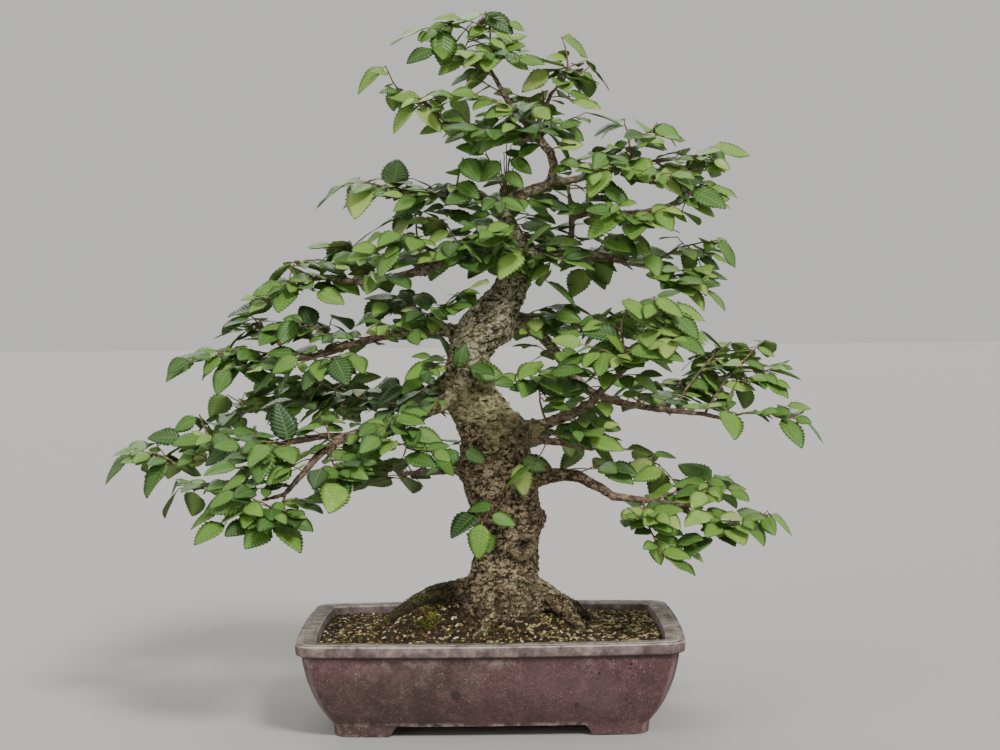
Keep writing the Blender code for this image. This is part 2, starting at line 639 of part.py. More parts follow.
def build_wood(group, material, routes):
    meshes = [add_bark(tube_mesh("trunk", routes["trunk"], TRUNK_SIDES), TRUNK_BARK, lobes=True)]
    for root in ROOTS:
        meshes.append(add_bark(tube_mesh("root", smooth_route(root, ROOT_STEP), ROOT_SIDES), ROOT_BARK))
    for name, route in routes.items():
        if name != "trunk":
            meshes.append(add_bark(tube_mesh(name, route, LIMB_SIDES), LIMB_BARK))
    return join_solids("trunk", meshes, group, material)


def buried_wood(cutters, routes):
    """The wood in the soil, grown by a gap, to cut its hole there."""
    low = [station for station in routes["trunk"] if station[2] < HOLE_TOP]
    meshes = [add_bark(tube_mesh("root_hole", low, TRUNK_SIDES), TRUNK_BARK, HOLE_GAP, lobes=True)]
    for root in ROOTS:
        mesh = tube_mesh("root_hole", smooth_route(root, ROOT_STEP), ROOT_SIDES)
        meshes.append(add_bark(mesh, ROOT_BARK, HOLE_GAP))
    return join_solids("root_hole", meshes, cutters, None)


# Sprays of leaves

def bend(start, control, end, count):
    shares = [i / count for i in range(count + 1)]
    return [start.lerp(control, t).lerp(control.lerp(end, t), t) for t in shares]


def level_direction(direction, turn, pitch):
    """The direction turned sideways and pitched to an angle below level, in degrees."""
    flat = Vector((direction.x, direction.y, 0)).normalized()
    flat.rotate(Matrix.Rotation(math.radians(turn), 3, "Z"))
    pitch = math.radians(pitch)
    return flat * math.cos(pitch) - Vector((0, 0, math.sin(pitch)))


def leaf_mesh(root, axis, facing, length, extra=0.0):
    """A toothed blade: a thin lens in section, dished along its rib, with a small upright foot."""
    side = axis.cross(facing).normalized()
    up = side.cross(axis)
    half = length * LEAF_WIDTH / 2

    def at(along, across, height):
        return (root + axis * (along * length) + side * across + up * height) * MM

    bm = bmesh.new()
    foot_top = bm.verts.new(at(0, 0, LEAF_ROOT / 2))
    foot_low = bm.verts.new(at(0, 0, -LEAF_ROOT / 2))
    rib_top = bm.verts.new(at(LEAF_THICKEST, 0, LEAF_THICK / 2 + extra))
    rib_low = bm.verts.new(at(LEAF_THICKEST, 0, -LEAF_THICK / 2 - extra))
    tip = bm.verts.new(at(1, 0, -LEAF_DROP))
    edges = []
    for hand in (1, -1):
        edges.append([
            bm.verts.new(at(along + LEAF_SKEW * hand, hand * (half * share + extra),
                            LEAF_DISH * share - LEAF_DROP * max(0, along - LEAF_THICKEST)))
            for along, share in LEAF_OUTLINE
        ])
    for hand, edge in zip((1, -1), edges):
        for near, far in zip([foot_top, *edge], [*edge, tip]):
            bm.faces.new((rib_top, near, far) if hand > 0 else (rib_top, far, near))
        for near, far in zip([foot_low, *edge], [*edge, tip]):
            bm.faces.new((rib_low, far, near) if hand > 0 else (rib_low, near, far))
        bm.faces.new((foot_top, foot_low, edge[0]) if hand > 0 else (foot_low, foot_top, edge[0]))
    return mesh_from(bm, "leaf")


class Crowd:
    """What is already placed, as search trees with their boxes, in metres."""

    def __init__(self):
        self.members = []

    def add(self, owner, mesh):
        points = [v.co for v in mesh.vertices]
        tree = BVHTree.FromPolygons(points, [tuple(p.vertices) for p in mesh.polygons])
        self.members.append((owner, box_of(points), tree))

    def hits(self, mesh, among):
        """Whether the mesh runs into a member whose owner passes the test."""
        points = [v.co for v in mesh.vertices]
        low, high = box_of(points)
        tree = None
        for owner, (other_low, other_high), other in self.members:
            if not among(owner):
                continue
            if any(low[i] > other_high[i] or high[i] < other_low[i] for i in range(3)):
                continue
            tree = tree or BVHTree.FromPolygons(points, [tuple(p.vertices) for p in mesh.polygons])
            if tree.overlap(other):
                return True
        return False


def box_of(points):
    return ([min(p[i] for p in points) for i in range(3)], [max(p[i] for p in points) for i in range(3)])


class Spray:
    """One leafy stem: where its twigs run, in millimetres, and the leaves that each carries."""

    def __init__(self, name, tips, route, wood, taken):
        self.name = name
        self.twigs = []  # (points, radius at the start)
        self.leaves = []  # (twig number, root, direction, length, which side of the twig)
        self.rng = random.Random(name)
        tips = [Vector(tip) for tip in tips]
        middle = sum(tips, Vector()) / len(tips)
        start, outward = self.leave_limb(middle, route, wood)
        self.grow_twig(start, outward, tips[0], wood, taken)
        for tip in tips[1:]:
            twig, near, along = self.nearest_wood(tip)
            if (tip - near).length < REACH:
                self.add_leaf_at(twig, near - along * LEAF_SUNK, tip)
            else:
                self.grow_twig(near, along, tip, wood, taken)

    def leave_limb(self, middle, route, wood):
        """The point just off the bark where the stem starts, and its first direction."""
        points = straight_steps(route, ANCHOR_STEP)
        near = min(range(len(points)), key=lambda i: (points[i] - middle).length)
        back = round(ANCHOR_BACK * (points[near] - middle).length / ANCHOR_STEP)
        anchor = points[max(2, min(near, len(points) - 2) - back)]
        toward = (middle - anchor).normalized()
        hit, normal, _, _ = wood.ray_cast(anchor * MM, toward)
        hit = hit / MM
        outward = (normal + toward).normalized()
        self.off_bark = normal
        return hit + normal * GAP, outward

    def is_seated(self, points, wood):
        """Whether the foot of the stem, along its first millimetres, is off the bark all round."""
        ahead = (points[1] - points[0]).normalized()
        across = ahead.orthogonal().normalized() * TWIG_ROOT
        for along in SEAT_STEPS:
            for eighth in range(8):
                edge = points[0] + ahead * along + Matrix.Rotation(eighth * math.pi / 4, 3, ahead) @ across
                near, normal, _, far = wood.find_nearest(edge * MM)
                if far < GAP * MM or (edge * MM - near).dot(normal) < 0:
                    return False
        return True

    def nearest_wood(self, tip):
        """The place on the stem's own twigs that is best to reach a leaf from."""
        best = None
        for number, (points, _) in enumerate(self.twigs):
            for first, second in zip(points, points[1:]):
                along = (second - first).normalized()
                for step in range(TWIG_STEPS):
                    place = first.lerp(second, step / TWIG_STEPS)
                    if (place - points[0]).length < FORK_BARE:
                        continue
                    cost = (tip - place).length - FORK_BARE * along.dot((tip - place).normalized())
                    if best is None or cost < best[0]:
                        best = (cost, number, place, along)
        return best[1:]

    def add_leaf_at(self, twig, root, tip):
        length = max(LEAF_LENGTHS[0], min(LEAF_LENGTHS[1], 2 * (tip - root).length))
        self.leaves.append((twig, root, (tip - root).normalized(), length, 0))

    def grow_twig(self, start, outward, tip, wood, taken):
        number = len(self.twigs)
        reach = (tip - start).length
        toward = (tip - start).normalized()
        length = min(self.rng.uniform(*LEAF_LENGTHS), reach * LONGEST_SHARE)
        axis = level_direction(toward, self.rng.uniform(-TIP_TURN, TIP_TURN), self.rng.uniform(*DROOP))
        end = tip - axis * length * 0.5
        for attempt in range(BEND_TRIES):
            control = start + outward * (BEND_SHARE * (end - start).length)
            control.x += attempt * BEND_MOVE[0] * (-1) ** (attempt // 2)
            control.z += attempt * BEND_MOVE[1] * (-1) ** attempt
            points = bend(start, control, end, 1 if number and not attempt else 2)
            if self.is_clear(points, wood, taken, number):
                break
        else:
            if number:
                return
        for _ in range(SEAT_TRIES):
            if number or self.is_seated(points, wood):
                break
            start += self.off_bark * SEAT_MOVE
            points = bend(start, control, end, 2)
        self.twigs.append((points, TWIG_ROOT if number == 0 else TWIG_ROOT * SIDE_TWIG))
        sunk = end - (points[-1] - points[-2]).normalized() * LEAF_SUNK
        self.leaves.append((number, sunk, axis, length, 0))
        if reach > SIDE_LEAF_REACH:
            spot = self.rng.uniform(*SIDE_LEAF_PLACE) * (len(points) - 1)
            low = int(spot)
            at = points[low].lerp(points[low + 1], spot - low)
            along = (points[low + 1] - points[low]).normalized()
            size = self.rng.uniform(*LEAF_LENGTHS) * SIDE_LEAF_SIZE
            self.leaves.append((number, at, along, size, self.rng.choice((-1, 1))))

    def is_clear(self, points, wood, taken, number):
        for first, second in zip(points, points[1:]):
            for step in range(TWIG_STEPS):
                point = first.lerp(second, step / TWIG_STEPS)
                far_enough = number or (point - points[0]).length > TWIG_BARE
                near, _, _, far = wood.find_nearest(point * MM, TWIG_BARE * MM)
                if far_enough and near is not None and far < (TWIG_ROOT + 1) * MM:
                    return False
                if any((point - other).length < 2 * TWIG_ROOT + TWIG_CLEAR for other in taken):
                    return False
        return True

    def samples(self):
        for points, _ in self.twigs:
            for first, second in zip(points, points[1:]):
                count = max(1, round((second - first).length / SAMPLE_STEP))
                for step in range(count + 1):
                    yield first.lerp(second, step / count)


def twig_meshes(spray):
    meshes = []
    for points, radius in spray.twigs:
        count = len(points) - 1
        route = [(*p, radius + (TWIG_TIP - radius) * i / count) for i, p in enumerate(points)]
        meshes.append(tube_mesh("twig", route, 3))
    return meshes


def leaf_meshes(spray, crowd):
    """The spray's leaves, each turned until it clears everything that is already placed."""
    meshes = []
    for twig, root, axis, length, hand in spray.leaves:
        for attempt in range(LEAF_TRIES):
            aside, down = (limit * (1 + attempt / LEAF_TRIES) for limit in TURN_TRIES)
            draw = spray.rng.uniform
            turn = hand * draw(*SIDE_LEAF_TURN) + draw(-aside, aside) * (attempt > 0)
            pitch = draw(*DROOP) + down * (attempt > 3) * (-1) ** attempt
            way = level_direction(axis, turn, pitch) if hand or attempt else axis
            front = max(-1, min(1, (root.y - BACK_STARTS) / BACK_BLEND))
            facing = Vector((draw(-LEAN, LEAN), LEAN * front + draw(-LEAN, LEAN), 1))
            size = length * (1 if attempt < FULL_TRIES else SMALLER)
            own = (spray.name, twig)
            blade = leaf_mesh(root + way * LEAF_CLEAR, way, facing, size - LEAF_CLEAR)
            if crowd.hits(blade, lambda owner: owner == own):
                continue
            if not crowd.hits(leaf_mesh(root, way, facing, size, LEAF_GAP), lambda owner: owner != own):
                mesh = leaf_mesh(root, way, facing, size)
                crowd.add((spray.name, "leaf"), mesh)
                meshes.append(mesh)
                break
    return meshes


def build_sprays(group, material, wood_object, others, routes):
    wood = BVHTree.FromPolygons([v.co for v in wood_object.data.vertices],
                                [tuple(p.vertices) for p in wood_object.data.polygons])
    sprays, taken, numbers = [], [], {}
    for limb, *tips in SPRAYS:
        numbers[limb] = numbers.get(limb, 0) + 1
        spray = Spray(f"leaves_{limb}_{numbers[limb]}", tips, routes[limb], wood, taken)
        sprays.append(spray)
        taken += list(spray.samples())
    crowd = Crowd()
    for thing in (wood_object, *others):
        crowd.add(("fixed", 0), thing.data)
    stems = []
    for spray in sprays:
        stems.append([])
        for number, mesh in enumerate(twig_meshes(spray)):
            if number and crowd.hits(mesh, lambda owner: owner[0] != spray.name):
                spray.leaves = [leaf for leaf in spray.leaves if leaf[0] != number]
                continue
            crowd.add((spray.name, number), mesh)
            stems[-1].append(mesh)
    count = 0
    for spray, stem in zip(sprays, stems):
        leaves = leaf_meshes(spray, crowd)
        count += len(leaves)
        join_solids(spray.name, stem + leaves, group, material)
    print("leaves placed:", count)


def move_to_place(groups):
    for group in groups:
        for thing in group.objects:
            thing.location += Vector(POT_PLACE) * MM


def main():
    clear_file()
    group = new_collection("american_elm_bonsai")
    cutters = new_collection("cutters")
    clay = new_material("clay", (0.16, 0.095, 0.10), 0.7)
    grit = new_material("soil", (0.055, 0.04, 0.025), 0.95)
    bark = new_material("bark", (0.17, 0.13, 0.085), 0.9)
    leaf = new_material("leaf", (0.06, 0.17, 0.03), 0.45)
    mesh_net = new_material("screen", (0.02, 0.02, 0.02), 0.6)
    routes = limb_routes()
    pot = build_pot(group, cutters, clay)
    build_screen("screen_left", -DRAIN_X, group, mesh_net)
    build_screen("screen_right", DRAIN_X, group, mesh_net)
    soil = build_soil(group, cutters, grit, buried_wood(cutters, routes))
    wood = build_wood(group, bark, routes)
    build_sprays(group, leaf, wood, (pot, soil), routes)
    move_to_place((group, cutters))


main()
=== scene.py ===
# %% [markdown]
# # An American elm bonsai in its pot
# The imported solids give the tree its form: the wood, the sprays, the soil and the pot, all at real size.
# This lesson dresses them. It replaces coarse solids with finer meshes that keep the same form, lets
# Geometry Nodes place what repeats (blades, twigs, grit, moss), and gives each surface a material worked
# out from the real one. Everything is in metres, +Z up, and the tree is looked at along +Y.

# %% Load the frame
import math
import random
from functools import partial

import bmesh
import bpy
import numpy as np
from mathutils import Matrix, Vector, noise
from mathutils.bvhtree import BVHTree
from mathutils.kdtree import KDTree


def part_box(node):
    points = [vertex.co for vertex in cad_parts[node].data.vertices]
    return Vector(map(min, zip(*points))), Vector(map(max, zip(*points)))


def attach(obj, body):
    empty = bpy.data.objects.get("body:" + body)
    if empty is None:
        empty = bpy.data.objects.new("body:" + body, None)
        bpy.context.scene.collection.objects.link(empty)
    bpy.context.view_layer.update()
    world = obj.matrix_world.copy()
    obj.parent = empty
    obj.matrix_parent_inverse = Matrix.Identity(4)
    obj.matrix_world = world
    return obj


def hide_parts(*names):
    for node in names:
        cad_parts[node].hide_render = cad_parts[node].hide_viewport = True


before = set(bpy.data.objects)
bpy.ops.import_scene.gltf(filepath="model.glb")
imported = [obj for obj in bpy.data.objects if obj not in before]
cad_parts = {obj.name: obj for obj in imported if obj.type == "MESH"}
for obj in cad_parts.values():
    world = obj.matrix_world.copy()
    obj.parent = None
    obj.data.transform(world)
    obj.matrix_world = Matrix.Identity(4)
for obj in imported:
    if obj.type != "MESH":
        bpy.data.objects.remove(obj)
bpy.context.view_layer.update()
MM = 0.001

# %% [markdown]
# ## The camera, the floor and the light
# The photograph was taken with a long lens from two metres away, a little above the middle of the tree, so
# the pot's rim shows as a thin band of its top. A matching camera comes first, because every later piece is
# judged through it. The floor is one pale plane. Wide soft suns light it evenly: a key from above the
# camera's right shoulder, a weak fill from the left and a rim light from behind, as a photographer's boxes
# would from afar.

# %% Camera, floor and lamps
LENS, FILM_GATE = 66.36, 36  # mm
CAMERA_AWAY = 2038 * MM  # from the middle of the pot
CAMERA_RIGHT = 14.2 * MM
CAMERA_HEIGHT = 470.6 * MM
CAMERA_DOWN = 0.0445  # radians
CAMERA_TILT = 0.011  # the pot's right end stands a little higher in the picture
LAMPS = {  # where the light comes from, its width in degrees, its strength
    "key": ((0.85, -1.45, 1.6), 14, 2.7),
    "fill": ((-1.6, -1.2, 0.9), 50, 0.55),
    "rim": ((-0.4, 1.5, 1.3), 30, 0.8),
}
SKY_STRENGTH = 0.72
FLOOR_HALF = 14

pot_low, pot_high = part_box("pot")
pot_middle = (pot_low + pot_high) / 2


def linear(hex_colour):
    """The linear colour of an sRGB hex value, as a shader socket takes it."""
    shares = [int(hex_colour[i:i + 2], 16) / 255 for i in (0, 2, 4)]
    return (*[s / 12.92 if s <= 0.04045 else ((s + 0.055) / 1.055) ** 2.4 for s in shares], 1.0)


def show(name, data):
    """A new object in the scene."""
    thing = bpy.data.objects.new(name, data)
    bpy.context.scene.collection.objects.link(thing)
    return thing


camera = show("camera", bpy.data.cameras.new("camera"))
camera.data.lens = LENS
camera.data.sensor_width = FILM_GATE
camera.data.clip_start = 0.05
camera.location = (pot_middle.x + CAMERA_RIGHT, pot_middle.y - CAMERA_AWAY, CAMERA_HEIGHT)
camera.rotation_euler = (math.pi / 2 - CAMERA_DOWN, CAMERA_TILT, 0)
bpy.context.scene.camera = camera

for name, (place, width, strength) in LAMPS.items():
    lamp = bpy.data.lights.new(name, "SUN")
    lamp.angle = math.radians(width)
    lamp.energy = strength
    stand = show(name, lamp)
    stand.location = place
    stand.rotation_euler = Vector(place).to_track_quat("Z", "Y").to_euler()

world = bpy.data.worlds.new("studio")
world.use_nodes = True
sky = world.node_tree.nodes["Background"].inputs
sky["Color"].default_value = linear("efeeeb")
sky["Strength"].default_value = SKY_STRENGTH
bpy.context.scene.world = world
print("lens", LENS, "mm, lamps:", len(LAMPS))

# %% [markdown]
# ## A few small helpers
# One function adds a node, with its settings and its inputs, to any tree, and one lays colours over each
# other. The next ones start a Geometry Nodes tree with named inputs, end it, and run it on an object. The
# result is kept as a plain mesh, because an exported model holds no instances and no modifiers.

# %% Node helpers
NOISE, CELLS, RAMP = "ShaderNodeTexNoise", "ShaderNodeTexVoronoi", "ShaderNodeValToRGB"
MIX, MATH, VECTOR, RANGE = "ShaderNodeMix", "ShaderNodeMath", "ShaderNodeVectorMath", "ShaderNodeMapRange"
SPLIT, SPLIT_COLOUR, BUMP = "ShaderNodeSeparateXYZ", "ShaderNodeSeparateColor", "ShaderNodeBump"
PLACE, FACING, KEPT = "ShaderNodeTexCoord", "ShaderNodeNewGeometry", "ShaderNodeAttribute"
OVER = (MIX, {"data_type": "RGBA"})  # takes a share, the colour below and the colour above
OVERLAY = (MIX, {"data_type": "RGBA", "blend_type": "OVERLAY"})
EASE = (RANGE, {"interpolation_type": "SMOOTHSTEP"})  # takes a value, from, to, and what it gives at each end
TIMES, TIMES_PLUS = (MATH, {"operation": "MULTIPLY"}), (MATH, {"operation": "MULTIPLY_ADD"})
LESS, MORE = (MATH, {"operation": "LESS_THAN"}), (MATH, {"operation": "GREATER_THAN"})
MOST, MINUS = (MATH, {"operation": "MAXIMUM"}), (MATH, {"operation": "SUBTRACT"})
ABSOLUTE, DIVIDE = (MATH, {"operation": "ABSOLUTE"}), (MATH, {"operation": "DIVIDE"})
STRETCH, SCALED = (VECTOR, {"operation": "MULTIPLY"}), (VECTOR, {"operation": "SCALE"})
EDGES = (CELLS, {"feature": "DISTANCE_TO_EDGE"})
NUMBER = ("GeometryNodeInputNamedAttribute", {"data_type": "FLOAT"})
STORE = ("GeometryNodeStoreNamedAttribute", {"data_type": "FLOAT"})


def feed(node, *inputs, **named):
    """Sets a node's inputs, in order or by name. Each is a value, a hex colour, or another node or socket."""
    pairs = list(zip([socket for socket in node.inputs if socket.enabled], inputs))
    pairs += [(node.inputs[name.replace("_", " ")], value) for name, value in named.items()]
    for socket, value in pairs:
        if isinstance(value, bpy.types.Node):
            value = next(output for output in value.outputs if output.enabled)
        if isinstance(value, bpy.types.NodeSocket):
            node.id_data.links.new(value, socket)
        elif isinstance(value, str) and socket.type == "RGBA":
            socket.default_value = linear(value)
        else:
            socket.default_value = value


def add_node(tree, kind, *inputs, stops=(), **named):
    """Adds a node. A kind may bring settings, and a name in small letters is a setting, not an input."""
    kind, settings = kind if isinstance(kind, tuple) else (kind, {})
    node = tree.nodes.new(kind)
    for name, value in (*settings.items(), *[pair for pair in named.items() if pair[0].islower()]):
        setattr(node, name, value)
    for number, (place, colour) in enumerate(stops):
        ramp = node.color_ramp.elements
        stop = ramp[number] if number < len(ramp) else ramp.new(1.0)
        stop.position = place
        stop.color = linear(colour)
    feed(node, *inputs, **{name: value for name, value in named.items() if not name.islower()})
    return node


def lay(below, *layers):
    """Lays colours over a first one. A layer is a colour and the windows it shows through, each a share, or a
    value with the limits it is eased between; the share of the layer is their product."""
    add = partial(add_node, below.id_data)
    for colour, *windows in layers:
        share, *others = [add(EASE, *window) if isinstance(window, tuple) else window for window in windows]
        for other in others:
            share = add(TIMES, share, other)
        below = add(OVER, share, below, colour)
    return below


def new_material(name, roughness, **sockets):
    """A Principled material, what adds nodes to it, and its shader."""
    material = bpy.data.materials.new(name)
    material.use_nodes = True
    shader = material.node_tree.nodes["Principled BSDF"]
    feed(shader, Roughness=roughness, **sockets)
    return material, partial(add_node, material.node_tree), shader


def new_tree(name, **sizes):
    """A Geometry Nodes tree with a named input for each size, what adds nodes to it, and those inputs."""
    tree = bpy.data.node_groups.new(name, "GeometryNodeTree")
    for label, kind in {"Geometry": "Geometry", **sizes}.items():
        tree.interface.new_socket(label.replace("_", " "), in_out="INPUT", socket_type="NodeSocket" + kind)
    tree.interface.new_socket("Geometry", in_out="OUTPUT", socket_type="NodeSocketGeometry")
    return tree, partial(add_node, tree), tree.nodes.new("NodeGroupInput").outputs


def end_tree(add, last, given):
    """The end of a Geometry Nodes tree: real geometry with its material."""
    real = add("GeometryNodeRealizeInstances", last)
    add("NodeGroupOutput", add("GeometryNodeSetMaterial", Geometry=real, Material=given["Material"]))


def worked_out(thing, name=None):
    """An object's mesh with its modifiers worked out."""
    bpy.context.view_layer.update()
    graph = bpy.context.evaluated_depsgraph_get()
    mesh = bpy.data.meshes.new_from_object(thing.evaluated_get(graph), depsgraph=graph)
    mesh.name = name or mesh.name
    return mesh


def run_tree(name, carrier, tree, **sizes):
    """Runs a tree on an object, and returns the result as a plain mesh object; the carrier goes."""
    modifier = carrier.modifiers.new(tree.name, "NODES")
    modifier.node_group = tree
    for item in tree.interface.items_tree:
        if item.in_out == "INPUT" and item.name.replace(" ", "_") in sizes:
            modifier[item.identifier] = sizes[item.name.replace(" ", "_")]
    carrier.update_tag()
    mesh = worked_out(carrier, name)
    bpy.data.objects.remove(carrier)
    return show(name, mesh)


def keep_numbers(mesh, **values):
    """Keeps a number, or a vector, for each point of a mesh."""
    for label, rows in values.items():
        rows = np.asarray(rows, dtype=float)
        kind, field = ("FLOAT_VECTOR", "vector") if rows.ndim == 2 else ("FLOAT", "value")
        mesh.attributes.new(label, kind, "POINT").data.foreach_set(field, rows.ravel())


def carrier_of(name, points, edges=(), **values):
    """A helper mesh that carries values on its points."""
    mesh = bpy.data.meshes.new(name)
    mesh.from_pydata(points, edges, ())
    keep_numbers(mesh, **values)
    return show(name, mesh)


def hand_over(piece, slot, *nodes):
    """The piece moves with the part's one body and stands for CAD nodes; the slot is not used."""
    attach(piece, "root")
    if nodes:
        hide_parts(*nodes)
    piece.data.calc_loop_triangles()
    print(f"{piece.name}: {len(piece.data.loop_triangles)} triangles")


# %% [markdown]
# The rest of the helpers shape meshes: they weld a solid's loose triangles, turn a shape into a mesh, read
# its points, drop faces, and work modifiers in.

# %% Mesh helpers, and the floor
def welded(node):
    """A solid's mesh from the frame, its loose triangles joined at their corners."""
    solid = bmesh.new()
    solid.from_mesh(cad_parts[node].data)
    bmesh.ops.remove_doubles(solid, verts=solid.verts, dist=0.01 * MM)
    return solid


def mesh_from(shape, name):
    """The mesh of a finished shape, which is freed."""
    mesh = bpy.data.meshes.new(name)
    shape.to_mesh(mesh)
    shape.free()
    return mesh


def rows_of(items, field, width=3, kind=float):
    """One field of all points or edges of a mesh, a row for each."""
    rows = np.empty(len(items) * width, dtype=kind)
    items.foreach_get(field, rows)
    return rows.reshape(-1, width)


def only_faces(mesh, name, wanted):
    """A copy of a mesh with the faces that are wanted, and the points they use."""
    shape = bmesh.new()
    shape.from_mesh(mesh)
    shape.normal_update()
    for face in [f for f in shape.faces if not wanted(f.normal.z, f.calc_center_median().z)]:
        shape.faces.remove(face)
    for vert in [v for v in shape.verts if not v.link_faces]:
        shape.verts.remove(vert)
    return mesh_from(shape, name)


def modify(thing, kind, **settings):
    modifier = thing.modifiers.new(kind.lower(), kind)
    for name, value in settings.items():
        setattr(modifier, name, value)


def settle(thing):
    """Works an object's modifiers into a mesh of its own."""
    mesh = worked_out(thing)
    thing.modifiers.clear()
    thing.data = mesh
    return mesh


def as_share(value):
    """A share can't be less than nothing or more than all."""
    return min(1.0, max(0.0, value))


painted_floor, add, shader = new_material("painted_floor", 0.8)
paper = add(NOISE, Scale=3.0, Detail=2.0)
feed(shader, Base_Color=add(RAMP, paper, stops=[(0.3, "b3b2ae"), (0.7, "b7b6b2")]))
sheet = bmesh.new()
bmesh.ops.create_grid(sheet, x_segments=2, y_segments=2, size=FLOOR_HALF)
floor = show("floor", mesh_from(sheet, "floor"))
floor.data.materials.append(painted_floor)

# %% [markdown]
# ## The pot
# The real pot is pressed from one piece of stoneware clay and fired without a glaze. Its wall is a convex
# bowl under a broad flat rim, and it stands on bracket feet. The outline from the rim down to the foot is a
# short list of heights and insets. Each becomes a ring, a rectangle with round corners whose sides bow out,
# more at the rim than at the feet, and the rings are lofted into one closed body. A shallow groove runs
# round the top of the rim. The gaps between the feet are then cut with a slanted block.

# %% The pot's outline
RIM_HALF = (204 * MM, 133 * MM)  # without the bow
RIM_LEVEL = 105
BOWS = (5 * MM, 11 * MM)  # how far the ends, and the front and back, bow out at the rim
FOOT_BOW = 0.45  # share of the bow that is left at the table
FOOT_HEIGHT = 12
FOOT_GAPS = {"X": 100, "Y": 52}  # half widths of the gaps between the feet
FOOT_SLANT = 9.5
OUTSIDE = (  # height, inset from the rim, corner radius, in mm
    (105, 18, 4), (105, 7.2, 14), (104.2, 6.4, 14.5), (104.2, 5.3, 15), (105, 4.5, 15.5), (105, 1.7, 16.5),
    (104.6, 0.6, 17), (103.4, 0.0, 17), (98, 0.1, 17), (94.6, 0.5, 17), (93.2, 1.1, 17), (92.5, 2.4, 17),
    (91.6, 4.6, 17), (90, 6.2, 17), (85, 6.6, 17), (78, 7.8, 17), (70, 9.5, 17), (62, 11.4, 17), (54, 14, 17),
    (46, 16.7, 17), (38, 20, 17), (30, 24, 17), (24, 27.4, 17), (18, 31.4, 17), (14.4, 33.8, 17),
    (12.4, 35, 17), (10, 35.7, 17), (5, 36.2, 17), (1.4, 36.4, 17), (0.4, 36.9, 17), (0, 37.7, 16),
    (0, 51.2, 5), (0.6, 52.2, 4), (FOOT_HEIGHT, 53.5, 4),
)
INSIDE = ((22, 42, 8), (31, 33, 8), (66, 19.6, 8), (90, 21.5, 8), (103.6, 20, 4), (104.6, 19.4, 4))
QUARTERS = ((1, 1), (-1, 1), (-1, -1), (1, -1))
CORNER_STEPS = 8
SIDE_STEPS = (22, 16)
DRAIN_RADIUS = 11 * MM
DRAIN_X = 75 * MM
DRILL = {"cap_ends": True, "segments": 40, "radius1": DRAIN_RADIUS, "radius2": DRAIN_RADIUS, "depth": 60 * MM}


def pot_ring(height, inset, corner):
    """One level outline of the pot, counterclockwise."""
    half_x, half_y = (half - inset * MM for half in RIM_HALF)
    corner *= MM

    def at(quarter, share):
        sx, sy = QUARTERS[quarter % 4]
        turn = math.radians(90 * (quarter + share))
        return (sx * (half_x - corner) + corner * math.cos(turn),
                sy * (half_y - corner) + corner * math.sin(turn))

    ring = []
    for quarter, steps in enumerate(SIDE_STEPS * 2):
        ring += [at(quarter, step / CORNER_STEPS) for step in range(CORNER_STEPS + 1)]
        (x, y), (next_x, next_y) = ring[-1], at(quarter + 1, 0)
        ring += [(x + (next_x - x) * k / steps, y + (next_y - y) * k / steps) for k in range(1, steps)]
    share = FOOT_BOW + (1 - FOOT_BOW) * height / RIM_LEVEL
    return [Vector((x + BOWS[0] * share * (x / half_x) * (1 - (y / half_y) ** 2),
                    y + BOWS[1] * share * (y / half_y) * (1 - (x / half_x) ** 2), height * MM))
            for x, y in ring]


print("points in a ring:", len(pot_ring(98, 0, 17)), "rings:", len(OUTSIDE) + len(INSIDE))

# %% [markdown]
# Pressed clay is never quite true, so each point moves in or out by a fraction of a millimetre, by a smooth
# noise that is wider than a hand. The solid pot has the same heights and insets with fewer rings.

# %% The pot's body
HAND_WAVE = 0.5 * MM  # how far the wall wanders
HAND_WIDTH = 70 * MM
DRILL_LEVEL = 24 * MM
EDGE_WIDTH = 1.2 * MM  # of the round that softens each edge

below_pot = Vector((pot_middle.x, pot_middle.y, 0))
body = bmesh.new()
rows = []
for height, inset, corner in (*INSIDE, *OUTSIDE):
    wander = 0 if height in (0, FOOT_HEIGHT) else HAND_WAVE
    row = []
    for point in pot_ring(height, inset, corner):
        away = Vector((point.x, point.y, 0)).normalized()
        row.append(body.verts.new(point + away * wander * noise.noise(point / HAND_WIDTH) + below_pot))
    rows.append(row)
for low, high in zip(rows, rows[1:]):
    for i in range(len(low)):
        j = (i + 1) % len(low)
        body.faces.new((low[i], low[j], high[j], high[i]))
body.faces.new(rows[0])
body.faces.new(rows[-1])
bmesh.ops.recalc_face_normals(body, faces=body.faces)
pot = show("stoneware_pot", mesh_from(body, "stoneware_pot"))

cutters = []
for axis, half_gap in FOOT_GAPS.items():
    block = bmesh.new()
    bmesh.ops.create_cube(block, size=1)
    for vert in block.verts:
        across = math.copysign(half_gap + (2 * FOOT_SLANT if vert.co.z < 0 else 0), vert.co.x) * MM
        along = math.copysign(2 * RIM_HALF[0], vert.co.y)
        height = math.copysign(FOOT_HEIGHT * MM, vert.co.z)
        vert.co = Vector((across, along, height) if axis == "X" else (along, across, height))
    bmesh.ops.recalc_face_normals(block, faces=block.faces)
    cutters.append((block, 0, 0))
for side in (-1, 1):
    drill = bmesh.new()
    bmesh.ops.create_cone(drill, **DRILL)
    cutters.append((drill, side * DRAIN_X, DRILL_LEVEL))
for number, (shape, aside, level) in enumerate(cutters):
    cutters[number] = show("cutter", mesh_from(shape, "cutter"))
    cutters[number].location = (pot_middle.x + aside, pot_middle.y, level)
    modify(pot, "BOOLEAN", operation="DIFFERENCE", solver="EXACT", object=cutters[number])
modify(pot, "BEVEL", width=EDGE_WIDTH, segments=3, limit_method="ANGLE", angle_limit=math.radians(50))
pot_mesh = settle(pot)
for cutter in cutters:
    bpy.data.objects.remove(cutter)
